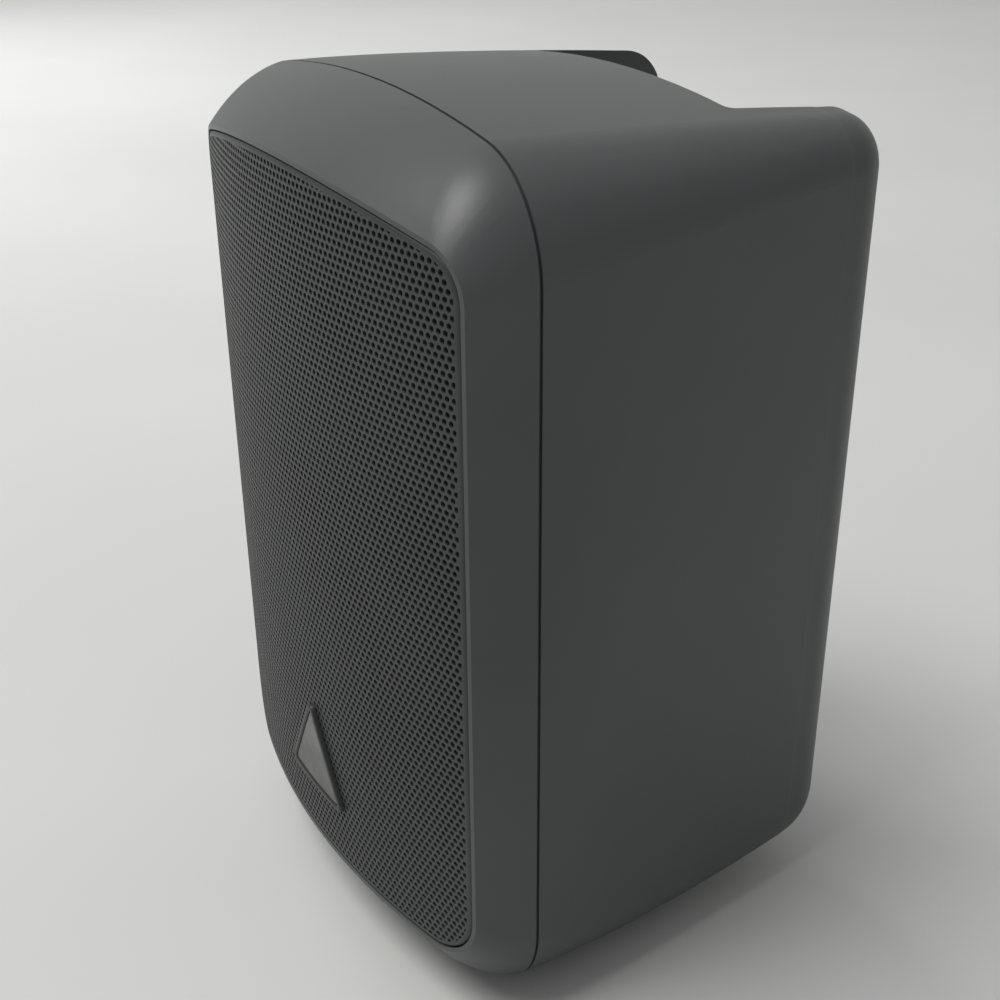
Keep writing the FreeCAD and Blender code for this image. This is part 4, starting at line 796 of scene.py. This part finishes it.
tile_object = bpy.data.objects.new("perforation_tile", perforation_tile())
bpy.context.scene.collection.objects.link(tile_object)
centres = hole_centres()
middle_z = (grille_low.z + grille_high.z) / 2
sheet_tree = perforating_tree()
hole_field("grille_sheet_upper", [c for c in centres if c[2] >= middle_z], tile_object, sheet_tree)
hole_field("grille_sheet_lower", [c for c in centres if c[2] < middle_z], tile_object, sheet_tree)
bpy.data.objects.remove(tile_object)
print(len(centres), "holes")

# %% [markdown]
# ## The folded edge of the grille
# The press leaves a plain border round the holes, turns it over a small radius and folds it back into the bezel.
# It is one profile carried round the outline, so it is skinned from rings: each ring is the outline drawn in by a
# little more, first down the outside of the fold and then back up its inside.

# %% Folded edge
FOLD_RADIUS = 1.1 * MM
BORDER = 1.55 * MM
PROUD = 0.04 * MM
FOLD_STEPS = 4


def edge_ring(inset, behind=None, depth=None):
    """The outline drawn in, either a given way behind the bow or at one fixed depth."""
    return [(x, bow(x) + behind if depth is None else depth, z) for x, z in outline(inset)]


turn_steps = [math.pi / 2 * i / FOLD_STEPS for i in range(FOLD_STEPS + 1)]
outside = [edge_ring(0.0, depth=grille_high.y)]
outside += [edge_ring(FOLD_RADIUS * (1 - math.cos(a)), behind=FOLD_RADIUS * (1 - math.sin(a)) - PROUD)
            for a in turn_steps]
flat = [edge_ring(BORDER, behind=-PROUD), edge_ring(BORDER, behind=SHEET + PROUD)]
inside = [edge_ring(1.3 * SHEET, behind=SHEET + PROUD), edge_ring(SHEET, behind=1.5 * SHEET),
          edge_ring(SHEET, depth=grille_high.y)]
edge_mesh = skin_rings("grille_folded_edge", outside + flat + inside, closed_across=True)
folded_edge = new_piece("grille_folded_edge", edge_mesh, "grille_panel", "grille_steel")
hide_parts("grille")

# %% [markdown]
# ## Screws
# All the screws have a domed pan head with a cross recess. The head is built once: a few turned rings, and a cross
# sunk into the top ring. Geometry Nodes put a copy on each screw's seat, and turn every copy by a random angle from
# a fixed seed, because nobody stops two screws at the same angle.

# %% Screw head and tree
HEAD_SIDES = 24
HEAD_PROFILE = [(0.48, 2.6), (0.48, 0.0), (1.0, 0.0), (1.0, -0.26), (0.93, -0.45), (0.78, -0.56)]
HEAD_TOP = -0.58
CROSS_ARM = 0.55
CROSS_HALF_WIDTH = 0.12
CROSS_FLOOR = -0.22
CROSS_TAPER = 0.75
CROSS_CORNERS = 12


def cross_outline(arm, width):
    """The corners of a cross, anticlockwise."""
    quarter = [(arm, -width), (arm, width), (width, width)]
    turned = []
    for k in range(4):
        a = math.pi / 2 * k
        turned += [(x * math.cos(a) - y * math.sin(a), x * math.sin(a) + y * math.cos(a)) for x, y in quarter]
    return turned


def pan_head():
    """A unit screw: head radius 1, seat at y = 0, head towards -y, shank towards +y."""
    build = bmesh.new()
    angles = [math.tau * k / HEAD_SIDES for k in range(HEAD_SIDES)]
    rings = []
    for radius, depth in HEAD_PROFILE:
        rings.append([build.verts.new((radius * math.cos(a), depth, radius * math.sin(a))) for a in angles])
    for below, above in zip(rings, rings[1:]):
        for k in range(HEAD_SIDES):
            after = (k + 1) % HEAD_SIDES
            build.faces.new((below[k], below[after], above[after], above[k]))
    build.faces.new(rings[0])
    cross = cross_outline(CROSS_ARM, CROSS_HALF_WIDTH)
    lip = [build.verts.new((x, HEAD_TOP, z)) for x, z in cross]
    pit = [build.verts.new((x * CROSS_TAPER, CROSS_FLOOR, z * CROSS_TAPER)) for x, z in cross]
    edges = [build.edges.new((lip[k], lip[(k + 1) % CROSS_CORNERS])) for k in range(CROSS_CORNERS)]
    rim = [build.edges.get((rings[-1][k], rings[-1][(k + 1) % HEAD_SIDES])) for k in range(HEAD_SIDES)]
    bmesh.ops.bridge_loops(build, edges=edges + rim)
    for k in range(CROSS_CORNERS):
        after = (k + 1) % CROSS_CORNERS
        build.faces.new((lip[k], lip[after], pit[after], pit[k]))
    build.faces.new(pit)
    bmesh.ops.recalc_face_normals(build, faces=build.faces)
    mesh = bpy.data.meshes.new("pan_head")
    build.to_mesh(mesh)
    build.free()
    return mesh


def screw_tree():
    """One screw on every seat, at a random turn, scaled to its head and given its finish."""
    group = bpy.data.node_groups.new("screw_set", "GeometryNodeTree")
    face = group.interface
    face.new_socket("Seats", in_out="INPUT", socket_type="NodeSocketGeometry")
    face.new_socket("Screw", in_out="INPUT", socket_type="NodeSocketObject")
    face.new_socket("Head radius", in_out="INPUT", socket_type="NodeSocketFloat")
    face.new_socket("Half turn", in_out="INPUT", socket_type="NodeSocketFloat")
    face.new_socket("Seed", in_out="INPUT", socket_type="NodeSocketInt")
    face.new_socket("Finish", in_out="INPUT", socket_type="NodeSocketMaterial")
    face.new_socket("Screws", in_out="OUTPUT", socket_type="NodeSocketGeometry")
    nodes, links = group.nodes, group.links
    given = nodes.new("NodeGroupInput").outputs
    screw = nodes.new("GeometryNodeObjectInfo")
    links.new(given["Screw"], screw.inputs["Object"])
    spin = nodes.new("FunctionNodeRandomValue")
    spin.inputs[3].default_value = math.tau
    links.new(given["Seed"], spin.inputs["Seed"])
    angles = nodes.new("ShaderNodeCombineXYZ")
    links.new(spin.outputs[1], angles.inputs["Y"])
    links.new(given["Half turn"], angles.inputs["Z"])
    copies = nodes.new("GeometryNodeInstanceOnPoints")
    links.new(given["Seats"], copies.inputs["Points"])
    links.new(screw.outputs["Geometry"], copies.inputs["Instance"])
    links.new(angles.outputs["Vector"], copies.inputs["Rotation"])
    links.new(given["Head radius"], copies.inputs["Scale"])
    real = nodes.new("GeometryNodeRealizeInstances")
    links.new(copies.outputs["Instances"], real.inputs["Geometry"])
    plated = nodes.new("GeometryNodeSetMaterial")
    links.new(real.outputs["Geometry"], plated.inputs["Geometry"])
    links.new(given["Finish"], plated.inputs["Material"])
    links.new(plated.outputs["Geometry"], nodes.new("NodeGroupOutput").inputs["Screws"])
    return group


print("screw head and tree ready")

# %% [markdown]
# ## Putting the screws in
# The CAD has a plain head and shank for each screw. The box of each of them tells where its seat is and how wide its
# head is, so nothing is measured twice: the detailed screws go exactly where the plain ones were.

# %% Put the screws in
HEAD_SHARE = 0.55


def screw_set(node_name, from_behind, seed, screw_object, group):
    """Replaces one CAD group of screws by detailed ones on the same seats."""
    seats = []
    for low, high in islands(node_name):
        centre = (low + high) / 2
        radius = (high.x - low.x) / 2
        head = radius * HEAD_SHARE
        y = high.y - head if from_behind else low.y + head
        seats.append((centre.x, y, centre.z))
    points = bpy.data.meshes.new(node_name)
    points.from_pydata(seats, [], [])
    values = {"Screw": screw_object, "Head radius": radius, "Half turn": math.pi if from_behind else 0.0,
              "Seed": seed, "Finish": finishes["steel_screw"]}
    mesh = grown(node_name + "_cross_head", points, group, values)
    piece = new_piece(mesh.name, mesh, "cabinet", "steel_screw")
    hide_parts(node_name)


screw_object = bpy.data.objects.new("pan_head", pan_head())
bpy.context.scene.collection.objects.link(screw_object)
screw_group = screw_tree()
screw_set("cabinet_screws", False, 3, screw_object, screw_group)
screw_set("woofer_screws", False, 5, screw_object, screw_group)
screw_set("tweeter_screws", False, 8, screw_object, screw_group)
screw_set("terminal_screws", True, 13, screw_object, screw_group)
bpy.data.objects.remove(screw_object)

# %% [markdown]
# ## The badge
# A plain triangle, point up: a moulded rim with softened edges, and a satin metal plate sunk a little inside it.
# Both follow the bow of the grille. Each is skinned from rings, and every ring is the same rounded triangle, drawn
# in and raised a little more than the last, so that light catches a thin line along the rim as it does on the real
# one. Its size comes from the CAD rim. Each side climbs 30 for every 18 across.

# %% Badge
RIM_WIDTH = 1.6 * MM
RIM_PROUD = 1.45 * MM
RIM_SOFTENING = 0.35 * MM
PLATE_PROUD = 1.0 * MM
PLATE_SUNK = 0.1 * MM
PLATE_GAP = 0.05 * MM
PLATE_SOFTENING = 0.25 * MM
PLATE_FLAT_FROM = 0.3 * MM
PLATE_INNER_RINGS = [inset * MM for inset in (3.5, 5.0, 6.5, 8.0, 9.3)]
PLATE_INNER_CORNER = 0.5 * MM
BADGE_CORNER = 2.0 * MM
BADGE_SLOPE = math.atan2(30.0, 18.0)

badge_low, badge_high = [Vector(corner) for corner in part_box("badge_rim")]
rounded_away = BADGE_CORNER * (1 / math.cos(BADGE_SLOPE) - 1)
badge_tall = badge_high.z + rounded_away - badge_low.z
badge_half = badge_tall / math.tan(BADGE_SLOPE)
print("badge triangle", round(2 * badge_half, 4), "wide,", round(badge_tall, 4), "tall")


def badge_ring(inset, proud, corner, per_corner=6, per_side=10):
    """A rounded triangle, drawn in and lifted off the bow."""
    half = badge_half - inset / math.tan(BADGE_SLOPE / 2)
    base = badge_low.z + inset
    top = base + half * math.tan(BADGE_SLOPE)
    along = half - corner / math.tan(BADGE_SLOPE / 2)
    centres = [(along, base + corner), (0.0, top - corner / math.cos(BADGE_SLOPE)), (-along, base + corner)]
    starts = [-math.pi / 2, math.pi / 2 - BADGE_SLOPE, math.pi / 2 + BADGE_SLOPE]
    sweeps = [math.pi - BADGE_SLOPE, 2 * BADGE_SLOPE, math.pi - BADGE_SLOPE]
    arcs = []
    for (x, z), start, sweep in zip(centres, starts, sweeps):
        turns = [start + sweep * i / per_corner for i in range(per_corner + 1)]
        arcs.append([(x + corner * math.cos(a), z + corner * math.sin(a)) for a in turns])
    points = []
    for arc, after in zip(arcs, arcs[1:] + arcs[:1]):
        points += arc
        (x0, z0), (x1, z1) = arc[-1], after[0]
        shares = [i / per_side for i in range(1, per_side)]
        points += [(x0 + (x1 - x0) * share, z0 + (z1 - z0) * share) for share in shares]
    return [(x, bow(x) - proud, z) for x, z in points]


soft = RIM_SOFTENING
rim_rings = [badge_ring(0.0, 0.0, BADGE_CORNER), badge_ring(0.0, RIM_PROUD - soft, BADGE_CORNER),
             badge_ring(0.3 * soft, RIM_PROUD - 0.3 * soft, BADGE_CORNER), badge_ring(soft, RIM_PROUD, BADGE_CORNER),
             badge_ring(RIM_WIDTH - soft, RIM_PROUD, BADGE_CORNER / 2),
             badge_ring(RIM_WIDTH, RIM_PROUD - soft, BADGE_CORNER / 2), badge_ring(RIM_WIDTH, 0.0, BADGE_CORNER / 2)]
rim_mesh = skin_rings("badge_softened_rim", rim_rings, closed_across=True)
rim_piece = new_piece("badge_softened_rim", rim_mesh, "grille_panel", "badge_rim_plastic", 40.0)
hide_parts("badge_rim")
plate_rings = [badge_ring(RIM_WIDTH + PLATE_GAP, PLATE_SUNK, BADGE_CORNER / 2),
               badge_ring(RIM_WIDTH + PLATE_GAP, PLATE_PROUD - PLATE_SOFTENING, BADGE_CORNER / 2),
               badge_ring(RIM_WIDTH + PLATE_FLAT_FROM, PLATE_PROUD, BADGE_CORNER / 2)]
plate_rings += [badge_ring(inset, PLATE_PROUD, PLATE_INNER_CORNER) for inset in PLATE_INNER_RINGS]
plate_mesh = skin_rings("badge_satin_plate", plate_rings, capped=True)
plate_piece = new_piece("badge_satin_plate", plate_mesh, "grille_panel", "badge_metal", 25.0)
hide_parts("badge_plate")

# %% [markdown]
# ## The rolling surrounds
# When the woofer's cone moves, the rubber roll round it bends: its inner edge goes with the cone, and its outer edge
# stays on the basket. The tweeter's dome has a much smaller roll of the same kind. Each roll is made in narrow
# closed wedges, which meet side by side round its centre.

# %% Rolling surround
ROLL_STEPS = 14
ARC_STEPS = 4
BACK_SHARE = 0.9
SMOOTH_ROLL = 50.0


def roll_profile(inner, outer, rim, seat, rise):
    """(radius, depth) from the moving edge to the held one: a flat rim, the half roll and the outer rim."""
    middle = (inner + outer) / 2
    half = (outer - inner) / 2
    turns = [math.pi * i / ROLL_STEPS for i in range(ROLL_STEPS + 1)]
    roll = [(middle - half * math.cos(a), seat - rise * math.sin(a)) for a in turns]
    return [(inner - rim, seat)] + roll + [(outer + rim, seat)] if rim else roll


def roll_in_wedges(name, node, driven, slot, rim, wall, count):
    """Makes a surround from closed wedges, sized from its own node and from the driven part."""
    low, high = [Vector(corner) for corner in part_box(node)]
    driven_low, driven_high = [Vector(corner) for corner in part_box(driven)]
    inner = (driven_high.x - driven_low.x) / 2
    outer = (high.x - low.x) / 2 - rim
    seat = high.y - wall
    centre = Vector((0.0, seat, (low.z + high.z) / 2))
    front = roll_profile(inner, outer, rim, seat, seat - low.y)
    back = [(radius, depth + wall * BACK_SHARE) for radius, depth in reversed(front)]
    for number in range(count):
        rings = []
        for step in range(ARC_STEPS + 1):
            a = math.tau * (number - 0.5 + step / ARC_STEPS) / count
            rings.append([(radius * math.cos(a), depth, centre.z + radius * math.sin(a))
                          for radius, depth in front + back])
        wedge_name = "%s_%02d" % (name, number)
        wedge = new_piece(wedge_name, skin_rings(wedge_name, rings, capped=True), None, slot, SMOOTH_ROLL)
        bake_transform(wedge)
        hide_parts(node)
    print(name, count, "wedges")


roll_in_wedges("surround_wedge", "woofer_surround", "woofer_cone", "black_rubber",
               rim=2.2 * MM, wall=0.7 * MM, count=24)
roll_in_wedges("dome_roll_wedge", "tweeter_surround", "tweeter_dome", "dome_film",
               rim=0.0, wall=0.3 * MM, count=12)
